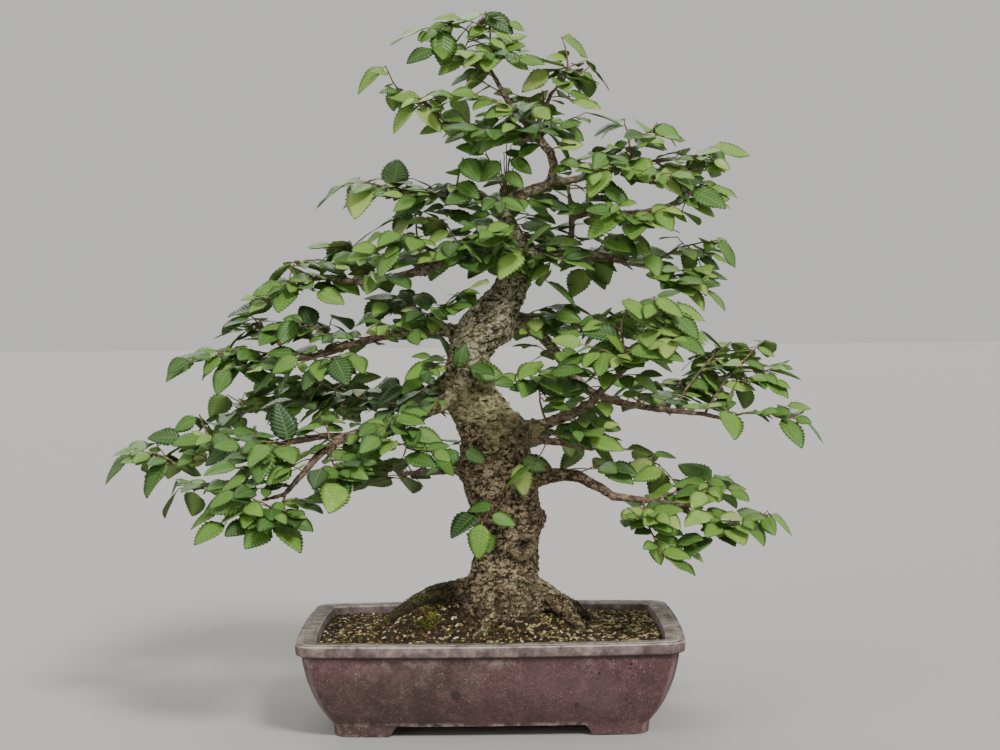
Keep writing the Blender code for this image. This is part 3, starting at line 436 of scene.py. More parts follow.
pot_mesh.polygons.foreach_set("use_smooth", [True] * len(pot_mesh.polygons))
pot_mesh.set_sharp_from_angle(angle=math.radians(38))
print("pot faces:", len(pot_mesh.polygons))

# %% [markdown]
# ### Unglazed stoneware
# Purple-brown clay, fired matt. The eye sees a cloudiness the width of a hand, pinker to the right and low
# down, a sandy grain with pale specks, a bloom of lime under the rim and along the foot, dirt with painted
# shade in the step below the band, and a rim that is weathered: purple-grey in front, grey-green and rough
# on top. The lowest part of the bowl is darkened as painted shade, and the lip's edge and the corners are
# paled in worn patches as wear and a painted highlight. A few blots and burnt-out pits sit where the
# photograph shows them, each given by its place on the front and its size in millimetres.

# %% Stoneware material
MARKS = (  # x from the pot's middle, height, radius, share, colour: blots, pits and rust on the front
    (-37, 50, 7, 0.75, "352526"), (90, 37, 4.5, 0.9, "2c1e20"), (94, 32, 9, 0.5, "45302f"),
    (113, 73, 2.0, 1.0, "1c1212"), (112, 66, 1.6, 0.9, "2a1c1c"), (147, 82, 1.7, 1.0, "1f1514"),
    (146, 77, 1.5, 0.9, "2a1c1b"), (154, 89, 1.6, 0.9, "2a1d1c"), (49, 82, 8, 0.5, "54413f"),
    (-158, 70, 4.5, 0.5, "64423a"), (176, 76, 9, 0.4, "573833"), (-135, 40, 26, 0.2, "4d3835"),
    (-60, 27, 30, 0.2, "4c3838"), (30, 24, 34, 0.2, "4c373b"), (110, 50, 34, 0.2, "7d5f66"),
    (60, 60, 40, 0.15, "7a5d63"),
)
stoneware, add, shader = new_material("unglazed_stoneware", 0.72)
where = add(PLACE).outputs["Object"]
rightness, depth, height = add(SPLIT, where).outputs
sideways, _, facing_up = add(SPLIT, add(FACING).outputs["Normal"]).outputs

clouds = add(NOISE, where, Scale=15.0, Detail=7.0, Roughness=0.68)
clay = add(RAMP, clouds, stops=[(0.34, "48352f"), (0.44, "5b4441"), (0.54, "6b524f"), (0.66, "806663")])
flush = add(NOISE, where, Scale=9.0, Detail=2.0)
flush = add(TIMES_PLUS, rightness, 0.5, flush)
clay = lay(clay, ("70484f", (flush, 0.45, 0.62, 0.0, 0.55)))
streaks = add(NOISE, where, Scale=70.0, Detail=7.0, Roughness=0.75, Distortion=0.4)
mottled = add(RAMP, streaks, stops=[(0.36, "3c3c3c"), (0.5, "808080"), (0.64, "c6c6c6")])
clay = add(OVERLAY, 0.5, clay, mottled)
grain = add(NOISE, where, Scale=520.0, Detail=4.0, Roughness=0.7)
grainy = add(RAMP, grain, stops=[(0.38, "808080"), (0.5, "bababa"), (0.62, "efefef")])
clay = add(OVERLAY, 0.6, clay, grainy)
# Painted shade: the lowest 30 mm of the bowl, where it curves in under itself, are darkened.
clay = lay(clay, ("4c3836", (height, 0.03, 0.0, 0.0, 0.35)))

# Pale specks and dark pits are the middles of some cells, chosen by the cell's own colour.
for scale, size, chosen, colour in ((290.0, (0.24, 0.1), (0.5, 0.95, 0.0, 0.75), "bfaaa0"),
                                    (120.0, (0.14, 0.06), (0.86, 0.9), "2c1f1d")):
    spots = add(CELLS, where, Scale=scale)
    own = add(SPLIT_COLOUR, spots.outputs["Color"])
    hollow = add(TIMES, add(EASE, spots, *size), add(EASE, own, *chosen))
    clay = add(OVER, hollow, clay, colour)

# Each mark is a soft ragged disc on the front, measured in the x-z plane.
flat_place = add(STRETCH, where, (1.0, 0.0, 1.0))
ragged = add(NOISE, where, Scale=180.0, Detail=3.0)
in_front = add(LESS, depth, pot_middle.y)
for x, z, radius, share, colour in MARKS:
    away = add(VECTOR, flat_place, (pot_middle.x + x * MM, 0.0, z * MM), operation="DISTANCE")
    edge = add(TIMES_PLUS, ragged, 0.9 * radius * MM, away)
    disc = add(EASE, edge, 0.9 * radius * MM, 1.45 * radius * MM, share, 0.0)
    mark = add(TIMES, disc, in_front)
    clay = add(OVER, mark, clay, colour)
    if share >= 0.9:
        hollow = add(MOST, hollow, mark)

# %% [markdown]
# The lime, the dirt with its painted shade in the step below the band, and the weathered rim go by height:
# each is a smooth window of heights times a ragged noise. The lip's edge and the corners also get a painted
# highlight in worn patches.

# %% Weathering of the clay, with painted shade and highlights
worn = add(NOISE, where, Scale=62.0, Detail=7.0, Roughness=0.72)
broad = add(NOISE, where, Scale=16.0, Detail=2.0)
hem = add(TIMES, add(EASE, height, 0.0112, 0.0126), add(EASE, height, 0.0180, 0.0135))
edges = add(MOST, add(EASE, height, 0.0042, 0.0012), hem)
from_middle, across = add(ABSOLUTE, rightness), add(ABSOLUTE, sideways)
# Worn patches, which also carry the painted highlight on the lip's edge and the corners.
rubbed_and_highlit = add(EASE, worn, 0.35, 0.55, 0.25, 0.9)
band = add(RAMP, worn, stops=[(0.34, "4c3e3c"), (0.46, "6c5c58"), (0.57, "8b7a76"), (0.7, "b3a39d")])
top = add(RAMP, worn, stops=[(0.34, "40372b"), (0.46, "62594b"), (0.56, "857c6e"), (0.7, "aaa294")])
clay = lay(
    clay,
    ("a39189", (worn, 0.44, 0.62, 0.0, 0.75), (broad, 0.42, 0.6), (height, 0.074, 0.088)),  # lime on the bowl
    ("a4948b", edges, (worn, 0.46, 0.60, 0.0, 0.85), (from_middle, 0.16, 0.08, 0.25, 1.0)),  # and on the feet
    ("3a2c2a", (height, 0.0885, 0.0905, 0.0, 0.8), (height, 0.0940, 0.0925)),  # dirt below the band, with painted shade in the step
    (band, (height, 0.092, 0.0945, 0.0, 0.85)),
    (top, (height, 0.1005, 0.1035, 0.0, 0.9), (facing_up, 0.35, 0.8)),
    ("c4b6af", (height, 0.1028, 0.1036), (facing_up, 0.97, 0.75), rubbed_and_highlit),  # the lip's edge: wear and a painted highlight
    ("927c76", (across, 0.5, 0.62), (across, 0.86, 0.72, 0.0, 0.55), rubbed_and_highlit))  # and the corners: a painted highlight in worn patches
lift = add(MINUS, add(TIMES_PLUS, streaks, 1.2, grain), hollow)
feed(shader, Base_Color=clay, Roughness=add(EASE, clouds, 0.3, 0.7, 0.6, 0.82),
     Normal=add(BUMP, Strength=0.55, Distance=0.7 * MM, Height=lift))

pot_mesh.materials.clear()
pot_mesh.materials.append(stoneware)
hand_over(pot, "clay", "pot")

# %% [markdown]
# ## The drain screens
# A square of plastic net lies over each drain hole, so that grit doesn't wash out. It can be seen only from
# below, through the hole. The net is a grid whose edges become thin round wires: a grid, Mesh to Curve and
# Curve to Mesh in one Geometry Nodes tree.

# %% Drain screens
NET_PITCH = 2.5 * MM
NET_WIRE = 0.45 * MM
TO_CURVE, CIRCLE = "GeometryNodeMeshToCurve", ("GeometryNodeCurvePrimitiveCircle", {"mode": "RADIUS"})

net, add, given = new_tree("drain_net", Width="Float", Wires="Int", Wire_radius="Float", Material="Material")
grid = add("GeometryNodeMeshGrid", *[given["Width"]] * 2, *[given["Wires"]] * 2)
tubes = add("GeometryNodeCurveToMesh", add(TO_CURVE, grid), Fill_Caps=True,
            Profile_Curve=add(CIRCLE, Resolution=6, Radius=given["Wire radius"]))
end_tree(add, tubes, given)

net_plastic, add, shader = new_material("black_polyethylene_net", 0.5)
scuff = add(NOISE, add(PLACE).outputs["Object"], Scale=400.0, Detail=3.0)
feed(shader, Base_Color=add(RAMP, scuff, stops=[(0.35, "1b1b1a"), (0.7, "33312e")]))

for side in ("left", "right"):
    low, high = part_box("screen_" + side)
    width = high.x - low.x - 2 * NET_WIRE
    screen = run_tree("net_" + side, carrier_of("seed", [(0, 0, 0)]), net, Width=width, Wire_radius=NET_WIRE,
                      Wires=round(width / NET_PITCH) + 1, Material=net_plastic)
    screen.data.transform(Matrix.Translation((low + high) / 2))
    hand_over(screen, "screen", "screen_" + side)

# %% [markdown]
# ## The wood
# Trunk, surface roots and limbs are one grown piece. Its solid is coarse, with long flat facets, so a voxel
# remesh first turns it into small even faces and rounds its forks, as bark does over a joint. A few knobs,
# folds and healed rings, where limbs were cut off years ago, are pressed into the front of the trunk. The
# bark is real relief that grows only on thick wood, so each point also learns how thick the wood is under
# it.

# %% A finer wood mesh
WOOD_VOXEL = 1.9 * MM
SMOOTH_STEPS = 6
KNOBS = (  # on the trunk's front: x from the pot's middle, height, radius, rise, in mm, and if it's a ring
    (64, 218, 11, 5, False), (-30, 274, 9, 4, False), (35, 192, 12, 5, True), (37, 322, 14, 5, True),
    (52, 250, 10, 3, False), (12, 176, 12, -3, False), (-8, 371, 9, -3.5, False), (22, 372, 8, -2.5, False),
    (10, 286, 12, -2.5, False), (-10, 250, 12, 3, False), (20, 150, 14, 3.5, False), (48, 300, 9, 3, False),
)
KNOB_EDGE, RING_EDGE, SCAR_EDGE = 0.9, 0.3, 0.55  # how softly each ends, as a share of its radius
SCAR_DEPTH = 0.7  # of the hollow in a ring, as a share of the ring's rise
FRONT = 0.3  # a point belongs to the front if its normal's y is less
LOOK_IN = 120 * MM  # how far a look into the wood goes
OPEN_GIRTH = 80 * MM  # the girth where the look meets nothing
GIRTH_ROUNDS = 12

solid_wood = welded("trunk")
wood_tree = BVHTree.FromBMesh(solid_wood)
wood = show("wood", mesh_from(solid_wood, "wood"))
modify(wood, "REMESH", mode="VOXEL", voxel_size=WOOD_VOXEL)
modify(wood, "SMOOTH", factor=0.5, iterations=SMOOTH_STEPS)
fine_wood = settle(wood)

spots = rows_of(fine_wood.vertices, "co")
outs = rows_of(fine_wood.vertices, "normal")
scar, healed = np.zeros(len(spots)), np.zeros(len(spots))
for x, z, radius, rise, ring in KNOBS:
    away = np.hypot(spots[:, 0] - pot_middle.x - x * MM, spots[:, 2] - z * MM) / (radius * MM)
    on_front = outs[:, 1] < FRONT
    lump = np.exp(-((away - (1 if ring else 0)) / (RING_EDGE if ring else KNOB_EDGE)) ** 2) * on_front
    spots += outs * (lump * rise * MM)[:, None]
    if ring:
        middle = np.exp(-(away / SCAR_EDGE) ** 2) * on_front
        spots -= outs * (middle * SCAR_DEPTH * rise * MM)[:, None]
        scar = np.maximum(scar, middle)
        healed = np.maximum(healed, lump)
fine_wood.vertices.foreach_set("co", spots.ravel())

fine_tree = BVHTree.FromPolygons([Vector(s) for s in spots], [tuple(p.vertices) for p in fine_wood.polygons])
girth = np.empty(len(spots))
for i, (spot, out) in enumerate(zip(spots, outs)):
    inward = -Vector(out)
    hit = fine_tree.ray_cast(Vector(spot) + inward * 0.5 * MM, inward, LOOK_IN)
    girth[i] = hit[3] if hit[0] else OPEN_GIRTH
ends = rows_of(fine_wood.edges, "vertices", 2, int)
for _ in range(GIRTH_ROUNDS):
    total, count = girth.copy(), np.ones(len(girth))
    for one, other in ((0, 1), (1, 0)):
        np.add.at(total, ends[:, one], girth[ends[:, other]])
        np.add.at(count, ends[:, one], 1)
    girth = total / count
keep_numbers(fine_wood, scar=scar, healed=healed, girth=girth)
print("wood points:", len(spots), "thinnest and thickest in mm:", round(girth.min() / MM, 1),
      round(girth.max() / MM))

# %% [markdown]
# ### Bark relief as a node tree
# Old elm bark breaks into small flaky chips that lie like worn tiles, each tilted its own way, over broad
# lumps. A Voronoi pattern gives each chip a colour, which serves as its random height and tilt: the tilt is
# the dot product of that random direction with the way from the chip's middle. A noise first bends the
# chips' outlines, and another tears their faces. Thick wood gets the full depth, thin wood nearly none. The
# result is kept on the points as "relief", so that the material can paint shade into the same cracks and a
# highlight onto the raised chips.

# %% Bark relief
bark_tree, add, given = new_tree("bark_relief", Chip_size="Float", Chip_depth="Float", Lump_size="Float",
                                 Lump_depth="Float", Material="Material")
place = add("GeometryNodeInputPosition")
wander = add(NOISE, place, Scale=120.0, Detail=3.0)
wander = add(SCALED, wander.outputs["Color"], 15 * MM)
wandering = add(VECTOR, add(STRETCH, place, (1.0, 1.0, 1.2)), wander)
chip_scale = add(DIVIDE, 1.0, given["Chip size"])
lump_scale = add(DIVIDE, 1.0, given["Lump size"])
chips = add(CELLS, wandering, Scale=chip_scale)
from_middle = add(VECTOR, wandering, chips.outputs["Position"], operation="SUBTRACT")
any_way = add(VECTOR, chips.outputs["Color"], (0.5, 0.5, 0.5), operation="SUBTRACT")
in_chips = add(SCALED, from_middle, chip_scale)
tilt = add(VECTOR, in_chips, any_way, operation="DOT_PRODUCT")
level = add(TIMES_PLUS, add(SPLIT, chips.outputs["Color"]), 0.55, 0.22)
chip = add(TIMES_PLUS, tilt, 0.9, level)
torn = add(NOISE, place, Scale=chip_scale, Detail=3.0, Roughness=0.65, Distortion=1.0)
chip = add(MATH, chip, add(TIMES_PLUS, torn, 2.2, -1.1))
seam = add(EASE, add(EDGES, wandering, Scale=chip_scale), 0.0, 0.14, 0.35, 1.0)
relief = add(TIMES, chip, seam, use_clamp=True)
kept = add(STORE, given["Geometry"], Name="relief", Value=relief, domain="POINT")
share = add(EASE, add(NUMBER, "girth"), 5 * MM, 42 * MM, 0.22, 1.0)
lump = add(MINUS, add(NOISE, place, Scale=lump_scale, Detail=2.0), 0.5)
push = add(TIMES_PLUS, add(MINUS, relief, 0.45), given["Chip depth"],
           add(TIMES, lump, given["Lump depth"]))
push = add(TIMES, push, share)
outward = add(SCALED, add("GeometryNodeInputNormal"), push)
moved = add("GeometryNodeSetPosition", kept, Offset=outward)
end_tree(add, add("GeometryNodeSetShadeSmooth", moved), given)

# %% [markdown]
# ### Elm bark
# The faces of the chips are grey-brown, their raised edges pale as a painted highlight, and the gaps between
# them nearly black: the bark's own dark cracks with painted shade in them. Flakes of three millimetres and
# longer cracks are drawn over the relief, because the mesh can't hold them; their dark lines are partly
# painted shade too. Higher up the trunk the bark is newer: olive-grey, smoother, with short level slits,
# and silvery at the top. Thin limbs are smooth and red-brown. The roots are stained by soil and moss, the
# left one most, and a healed ring is pale round a dark scar. So the colour follows relief, height, girth and
# the two marks of the knobs.

# %% Elm bark material
elm_bark, add, shader = new_material("elm_bark", 0.88)
where = add(PLACE).outputs["Object"]
rightness, _, height = add(SPLIT, where).outputs
_, _, facing_up = add(SPLIT, add(FACING).outputs["Normal"]).outputs
relief, girth_here, scar_here, healed_here = [add(KEPT, attribute_name=name).outputs["Fac"]
                                              for name in ("relief", "girth", "scar", "healed")]
wander = add(NOISE, where, Scale=190.0, Detail=4.0, Roughness=0.6)
wander = add(SCALED, wander.outputs["Color"], 11 * MM)
stretched = add(STRETCH, where, (0.8, 0.8, 1.25))
wandering = add(VECTOR, stretched, wander)
flake_tone = add(SPLIT_COLOUR, add(CELLS, wandering, Scale=260.0).outputs["Color"])
torn = add(NOISE, stretched, Scale=170.0, Detail=6.0, Roughness=0.68, Distortion=1.1)
fine = add(NOISE, where, Scale=750.0, Detail=5.0, Roughness=0.7)
broad = add(NOISE, where, Scale=70.0, Detail=4.0, Roughness=0.6)
# The drawn gaps and cracks darken the bark: its own darker cracks, with painted shade in them.
gap = add(EASE, add(EDGES, wandering, Scale=260.0), 0.0, 0.13, 0.8, 1.0)
crack = add(EASE, add(EDGES, wandering, Scale=105.0), 0.02, 0.13, 0.72, 1.0)
gap = add(TIMES, gap, crack)
# Painted light and shade: the kept relief makes raised chips lighter and sunk ones darker.
shade = add(TIMES_PLUS, flake_tone, 0.20, -0.58)
for part, weight in ((relief, 0.34), (torn, 1.3), (fine, 0.42), (broad, 0.40)):
    shade = add(TIMES_PLUS, part, weight, shade)
rough_shade = add(TIMES, shade, gap)
slits = add(NOISE, add(STRETCH, where, (0.35, 0.35, 1.6)), Scale=170.0, Detail=3.0, Roughness=0.6)
smooth_shade = add(TIMES, shade, add(EASE, slits, 0.36, 0.44, 0.35, 1.0))
old = add(RAMP, rough_shade, stops=[
    (0.35, "0d0703"), (0.44, "2c1d0d"), (0.53, "594830"), (0.62, "847255"), (0.78, "c4b28c")])
olive = add(RAMP, smooth_shade, stops=[
    (0.3, "121004"), (0.43, "2c2a10"), (0.55, "635d39"), (0.67, "8b855a"), (0.85, "beb68a")])
silver = add(RAMP, rough_shade, stops=[
    (0.34, "140e04"), (0.44, "3c351f"), (0.53, "6f684a"), (0.64, "9c9574"), (0.8, "cec6a6")])
young = add(RAMP, shade, stops=[(0.35, "33251b"), (0.55, "5d4838"), (0.75, "87705c"), (0.95, "a8967f")])

level = add(TIMES_PLUS, add(NOISE, where, Scale=26.0, Detail=3.0), 0.12, height)
lichen = add(NOISE, where, Scale=120.0, Detail=5.0, Roughness=0.7)
stained = ((level, 0.215, 0.165, 0.0, 0.85), (broad, 0.42, 0.56))
on_left = (rightness, pot_middle.x - 18 * MM, pot_middle.x - 50 * MM, 0.0, 0.8)
bark = lay(old, (olive, (level, 0.365, 0.395)), (silver, (level, 0.43, 0.46)))
bark = lay(
    young,
    (bark, (girth_here, 5 * MM, 17 * MM)),
    ("a7a68a", (lichen, 0.58, 0.68, 0.0, 0.5)),
    ("2f2416", *stained),
    ("2b2012", on_left, (level, 0.25, 0.20)),
    ("86765a", healed_here, 0.55),
    ("1d140b", scar_here, 0.9),
    ("464217", *stained, (facing_up, -0.1, 0.7)))  # moss
lift = gap
for part, weight in ((flake_tone, 0.4), (torn, 3.0), (fine, 0.8)):
    lift = add(TIMES_PLUS, part, weight, lift)
feed(shader, Base_Color=bark, Normal=add(BUMP, Strength=0.9, Distance=1.6 * MM, Height=lift))

trunk = run_tree("elm_wood", wood, bark_tree, Chip_size=6.0 * MM, Chip_depth=3.0 * MM, Lump_size=26 * MM,
                 Lump_depth=4.5 * MM, Material=elm_bark)
hand_over(trunk, "bark", "trunk")

# %% [markdown]
# ## The soil
# Bonsai soil is a loose mix of fired clay, pumice and bark, screened to 3 to 8 mm. The solid soil gives the
# ground its mound and its holes round the roots. A remesh makes it fine enough for a grainy surface, and
# one Geometry Nodes tree scatters loose pieces of grit over its top, each turned and tinted by chance from
# one seed.

# %% The soil bed
SOIL_VOXEL = 3.2 * MM
GRAIN_HEIGHT, GRAIN_WIDTH = 1.1 * MM, 7 * MM
GRAINY, TOP = 0.4, 0.35  # how far up a normal points, least, on the grainy ground and on its sown top

soil = show("soil_bed", mesh_from(welded("soil"), "soil"))
modify(soil, "REMESH", mode="VOXEL", voxel_size=SOIL_VOXEL)
soil_mesh = settle(soil)
for vert in soil_mesh.vertices:
    if vert.normal.z > GRAINY:
        vert.co.z += GRAIN_HEIGHT * noise.fractal(vert.co / GRAIN_WIDTH, 0.8, 2.1, 3)

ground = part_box("soil")[0].z + 40 * MM
soil_top = only_faces(soil_mesh, "soil_top", lambda up, level: up >= TOP and level >= ground)
print("soil faces:", len(soil_mesh.polygons), "on top:", len(soil_top.polygons))

# %% [markdown]
# ### Scattering with Geometry Nodes
# The same small tree scatters the grit and, with other inputs, the moss: points on the faces no nearer than
# one spacing, one of several shapes from a collection at each point, a random turn and size, and a random
# "tone" that the material reads as that piece's own colour.

# %% The scatter tree and the chips
RANDOM = "FunctionNodeRandomValue"
SHAPES_OF, SHAPES_ON = "GeometryNodeCollectionInfo", "GeometryNodeInstanceOnPoints"
SHAPES = 8  # in each collection

scatter, add, given = new_tree("scatter_on_ground", Shapes="Collection", Spacing="Float", Density="Float",
                               Least_size="Float", Most_size="Float", Tilt="Float", Seed="Int",
                               Material="Material")
spread = add("GeometryNodeDistributePointsOnFaces", given["Geometry"], Distance_Min=given["Spacing"],
             Density_Max=given["Density"], Density_Factor=add(NUMBER, "share"), Seed=given["Seed"],
             distribute_method="POISSON")
shapes = add(SHAPES_OF, given["Shapes"], Separate_Children=True, Reset_Children=True)
size = add(RANDOM, given["Least size"], given["Most size"], Seed=3, data_type="FLOAT")
spin = add(RANDOM, (-1, -1, -math.pi), (1, 1, math.pi), Seed=5, data_type="FLOAT_VECTOR")
tilt = add("ShaderNodeCombineXYZ", given["Tilt"], given["Tilt"], 1.0)
own_turn = add("FunctionNodeRotateRotation", spread.outputs["Rotation"],
               add(STRETCH, spin, tilt), rotation_space="LOCAL")
choice = add(RANDOM, 0, SHAPES - 1, Seed=7, data_type="INT")
laid = add(SHAPES_ON, spread, Instance=shapes, Pick_Instance=True, Instance_Index=choice,
           Rotation=own_turn, Scale=size)
own_tone = add(RANDOM, 0.0, 1.0, Seed=11, data_type="FLOAT")
toned = add(STORE, laid, Name="tone", Value=own_tone, domain="INSTANCE")
end_tree(add, toned, given)


def shape_collection(name, meshes):
    """Shapes for a tree to choose from; the collection isn't linked to the scene, so they don't show."""
    collection = bpy.data.collections.new(name)
    for number, mesh in enumerate(meshes):
        collection.objects.link(bpy.data.objects.new(f"{name}_{number}", mesh))
    return collection


def chip_mesh(rng):
    """One piece of grit about one unit across: a ball with its corners knocked about and its faces flat."""
    chip = bmesh.new()
    bmesh.ops.create_icosphere(chip, subdivisions=1, radius=0.5)
    squash = Vector((rng.uniform(0.8, 1.9), rng.uniform(0.4, 0.85), rng.uniform(0.3, 0.65)))
    for vert in chip.verts:
        vert.co = vert.co * rng.uniform(0.8, 1.15) * squash
    return mesh_from(chip, "chip")


rng = random.Random(16)
chips = shape_collection("grit_shapes", [chip_mesh(rng) for _ in range(SHAPES)])

# %% [markdown]
# ### Grit and soil colours
# Damp fired clay is dark umber, dry pieces are tan, pumice is cream to white, and algae tints some pieces
# olive. Each piece's own tone picks one of these, and a fine noise keeps any face from being flat.

# %% Soil materials
grit_mix, add, shader = new_material("mixed_soil_grit", 0.9)
where = add(PLACE).outputs["Object"]
own = add(KEPT, attribute_name="tone").outputs["Fac"]
kinds = add(RAMP, own, stops=[
    (0.0, "120a04"), (0.34, "2b1d0d"), (0.56, "45331a"), (0.64, "1d1308"), (0.70, "655028"),
    (0.75, "5b5c18"), (0.80, "33240f"), (0.85, "957f50"), (0.88, "6e4526"), (0.92, "b3a372"),
    (0.95, "7f7d2a"), (0.98, "d8cca8")])
other_tone = add(MATH, add(TIMES, own, 7.31), operation="FRACT")
rightness, _, _ = add(SPLIT, where).outputs
dry_side = add(EASE, rightness, pot_middle.x, pot_middle.x + 90 * MM, 0.03, 0.2)
kinds = lay(kinds, ("a89a6c", add(LESS, other_tone, dry_side)))
dust = add(NOISE, where, Scale=700.0, Detail=3.0)
feed(shader, Base_Color=add(OVERLAY, 0.5, kinds, dust.outputs["Color"]),
     Normal=add(BUMP, Strength=0.5, Distance=0.5 * MM, Height=dust))

damp_soil, add, shader = new_material("damp_clay_soil", 0.95)
crumbs = add(CELLS, add(PLACE).outputs["Object"], Scale=330.0)
crumb = add(RAMP, add(SPLIT_COLOUR, crumbs.outputs["Color"]),
            stops=[(0.0, "120903"), (0.5, "281703"), (0.85, "3f2b0f"), (1.0, "7a633a")])
feed(shader, Base_Color=crumb,
     Normal=add(BUMP, Strength=0.9, Distance=1.5 * MM, Height=crumbs, invert=True))

soil_mesh.materials.clear()
soil_mesh.materials.append(damp_soil)
soil_mesh.polygons.foreach_set("use_smooth", [True] * len(soil_mesh.polygons))
hand_over(soil, "soil", "soil")


def sown(ground, share_at):
    """A carrier with the ground's top, and for each point the share of the full density wanted there."""
    mesh = ground.copy()
    keep_numbers(mesh, share=[share_at(v.co) for v in mesh.vertices])
    return show("ground", mesh)


# %% [markdown]
# ### Moss
# A little moss grows where the surface stays damp: a bright patch in front of the left root, darker
# cushions on the mound and behind the right root, and some on the left root itself. A tuft is a handful of
# short leaves that fan out from one point, and the scatter tree sows tufts wherever a carrier's share is
# above nothing. The loose grit is sown here too, because it lies thinner under the moss.

# %% Moss
MOSS_PATCHES = (  # x and y from the middle of the pot, radius, share, in mm
    (-70, -44, 18, 1.0), (-62, -10, 30, 0.6), (-92, 4, 26, 0.5), (-36, 34, 34, 0.5), (78, 22, 22, 0.7),
    (50, -30, 12, 0.45), (-118, -4, 16, 0.4), (6, -66, 11, 0.35), (120, -20, 10, 0.4),
)
GRIT_UNDER_MOSS = 0.65  # the share that is missing
ROOT_MOSS = {"low": 98 * MM, "high": 170 * MM, "fades": (168 * MM, 25 * MM), "left": (22 * MM, 20 * MM)}
LEAVES = 6


def tuft_mesh(rng):
    """One tuft about one unit wide: a few pointed leaves round an axis, each a thin three-sided spike."""
    tuft = bmesh.new()
    for number in range(LEAVES):
        turn = 2 * math.pi * number / LEAVES + rng.uniform(-0.3, 0.3)
        lean = rng.uniform(0.25, 0.95)
        tip = Vector((math.cos(turn) * lean, math.sin(turn) * lean, rng.uniform(0.5, 0.9))) * 0.6
        foot = tip * 0.12
        aside = Vector((-math.sin(turn), math.cos(turn), 0)) * 0.11
        below = Vector((math.cos(turn), math.sin(turn), -1)) * 0.07
        corners = [tuft.verts.new(p) for p in (foot + aside, foot - aside, foot + below, tip)]
        for a, b, c in ((0, 1, 2), (0, 3, 1), (1, 3, 2), (2, 3, 0)):
            tuft.faces.new((corners[a], corners[b], corners[c]))
    bmesh.ops.recalc_face_normals(tuft, faces=tuft.faces)
    return mesh_from(tuft, "tuft")


def moss_share(place):
    """Full in the middle of a patch, and ragged at its edge."""
    best = 0.0
    for x, y, radius, share in MOSS_PATCHES:
        away = math.hypot(place.x - pot_middle.x - x * MM, place.y - pot_middle.y - y * MM) / (radius * MM)
        ragged = away + 0.5 * noise.noise(place / (9 * MM))
        best = max(best, share * as_share(2.2 * (1 - ragged)))
    return best


def root_moss_share(place):
    """Moss climbs from the soil onto the left root and a little way up the foot of the trunk."""
    (top, fade), (left, width) = ROOT_MOSS["fades"], ROOT_MOSS["left"]
    low = as_share((top - place.z) / fade)
    leftness = as_share((pot_middle.x - left - place.x) / width)
    return low * max(leftness, 0.12) * (noise.noise(place / (11 * MM)) > -0.1)


grit = run_tree("loose_grit", sown(soil_top, lambda place: 1 - GRIT_UNDER_MOSS * moss_share(place)), scatter,
                Shapes=chips, Spacing=2.6 * MM, Density=170000.0, Least_size=2.2 * MM, Most_size=6.6 * MM,
                Tilt=0.5, Seed=4, Material=grit_mix)
hand_over(grit, "soil")

moss_green, add, shader = new_material("cushion_moss", 0.85)
patchy = add(NOISE, add(PLACE).outputs["Object"], Scale=60.0, Detail=2.0)
moss_tone = add(TIMES_PLUS, add(KEPT, attribute_name="tone").outputs["Fac"], 0.5, patchy)
feed(shader, Base_Color=add(RAMP, moss_tone, stops=[
    (0.35, "211f08"), (0.6, "3d3f10"), (0.8, "62671a"), (1.0, "8b8f30")]))

tufts = shape_collection("moss_shapes", [tuft_mesh(rng) for _ in range(SHAPES)])
root_top = only_faces(fine_wood, "root_top",
                      lambda up, level: up >= 0.1 and ROOT_MOSS["low"] <= level <= ROOT_MOSS["high"])
for name, ground, share_at, spacing, density, least, most, tilt, seed in (
        ("moss_tufts", soil_top, moss_share, 1.3 * MM, 700000.0, 2.4 * MM, 4.6 * MM, 0.35, 9),
        ("root_moss", root_top, root_moss_share, 1.9 * MM, 300000.0, 2.2 * MM, 4.2 * MM, 0.5, 12)):
    moss = run_tree(name, sown(ground, share_at), scatter, Shapes=tufts, Spacing=spacing, Density=density,
                    Least_size=least, Most_size=most, Tilt=tilt, Seed=seed, Material=moss_green)
    hand_over(moss, "soil")

# %% [markdown]
# ## The leafy sprays
# An elm carries its blades alternately, left and right, along thin zigzag shoots, and each blade lies
# nearly flat to catch the light, its tip drooping. The solid sprays already say where the main blades are,
# so they are read off the frame and not placed again: on each solid blade, the two points above and below
# its rib are the only ones where many triangles meet. From them come its rib, its facing, its foot and its
# tip.

# %% Reading the solid blades
RIB_PLACE = 0.45  # the thick point of a solid blade, along its length
TIP_DROP = 3.0 * MM  # the solid tip lies this far below the rib's line
LEAST_FAN = 9  # triangles that meet at the thick point


class Blade:
    """Where one leaf is: its foot on the twig, the way it points, its upper side and its length."""

    def __init__(self, foot, axis, up, length, tone=None):
        self.foot, self.axis, self.up, self.length, self.tone = foot, axis, up, length, tone
        self.side = up.cross(axis)
        self.middle = foot + axis * (length / 2)
        self.tip = foot + axis * length


def read_blades(solid):
    near = {v.index: {e.other_vert(v).index for e in v.link_edges} for v in solid.verts}
    hubs = [v for v in solid.verts if len(near[v.index]) >= LEAST_FAN]
    solid.verts.ensure_lookup_table()
    blades = []
    for number, one in enumerate(hubs):
        for other in hubs[number + 1:]:
            shared = near[one.index] & near[other.index]
            if len(shared) < LEAST_FAN - 2:
                continue
            up = (one.co - other.co).normalized()
            up = -up if up.z < 0 else up
            rib = (one.co + other.co) / 2
            tip = max((solid.verts[k].co for k in shared), key=lambda p: (p - rib).length) + up * TIP_DROP
            axis = (tip - rib).normalized()
            length = (tip - rib).length / (1 - RIB_PLACE)
            blades.append(Blade(rib - axis * length * RIB_PLACE, axis, up, length))
    return blades


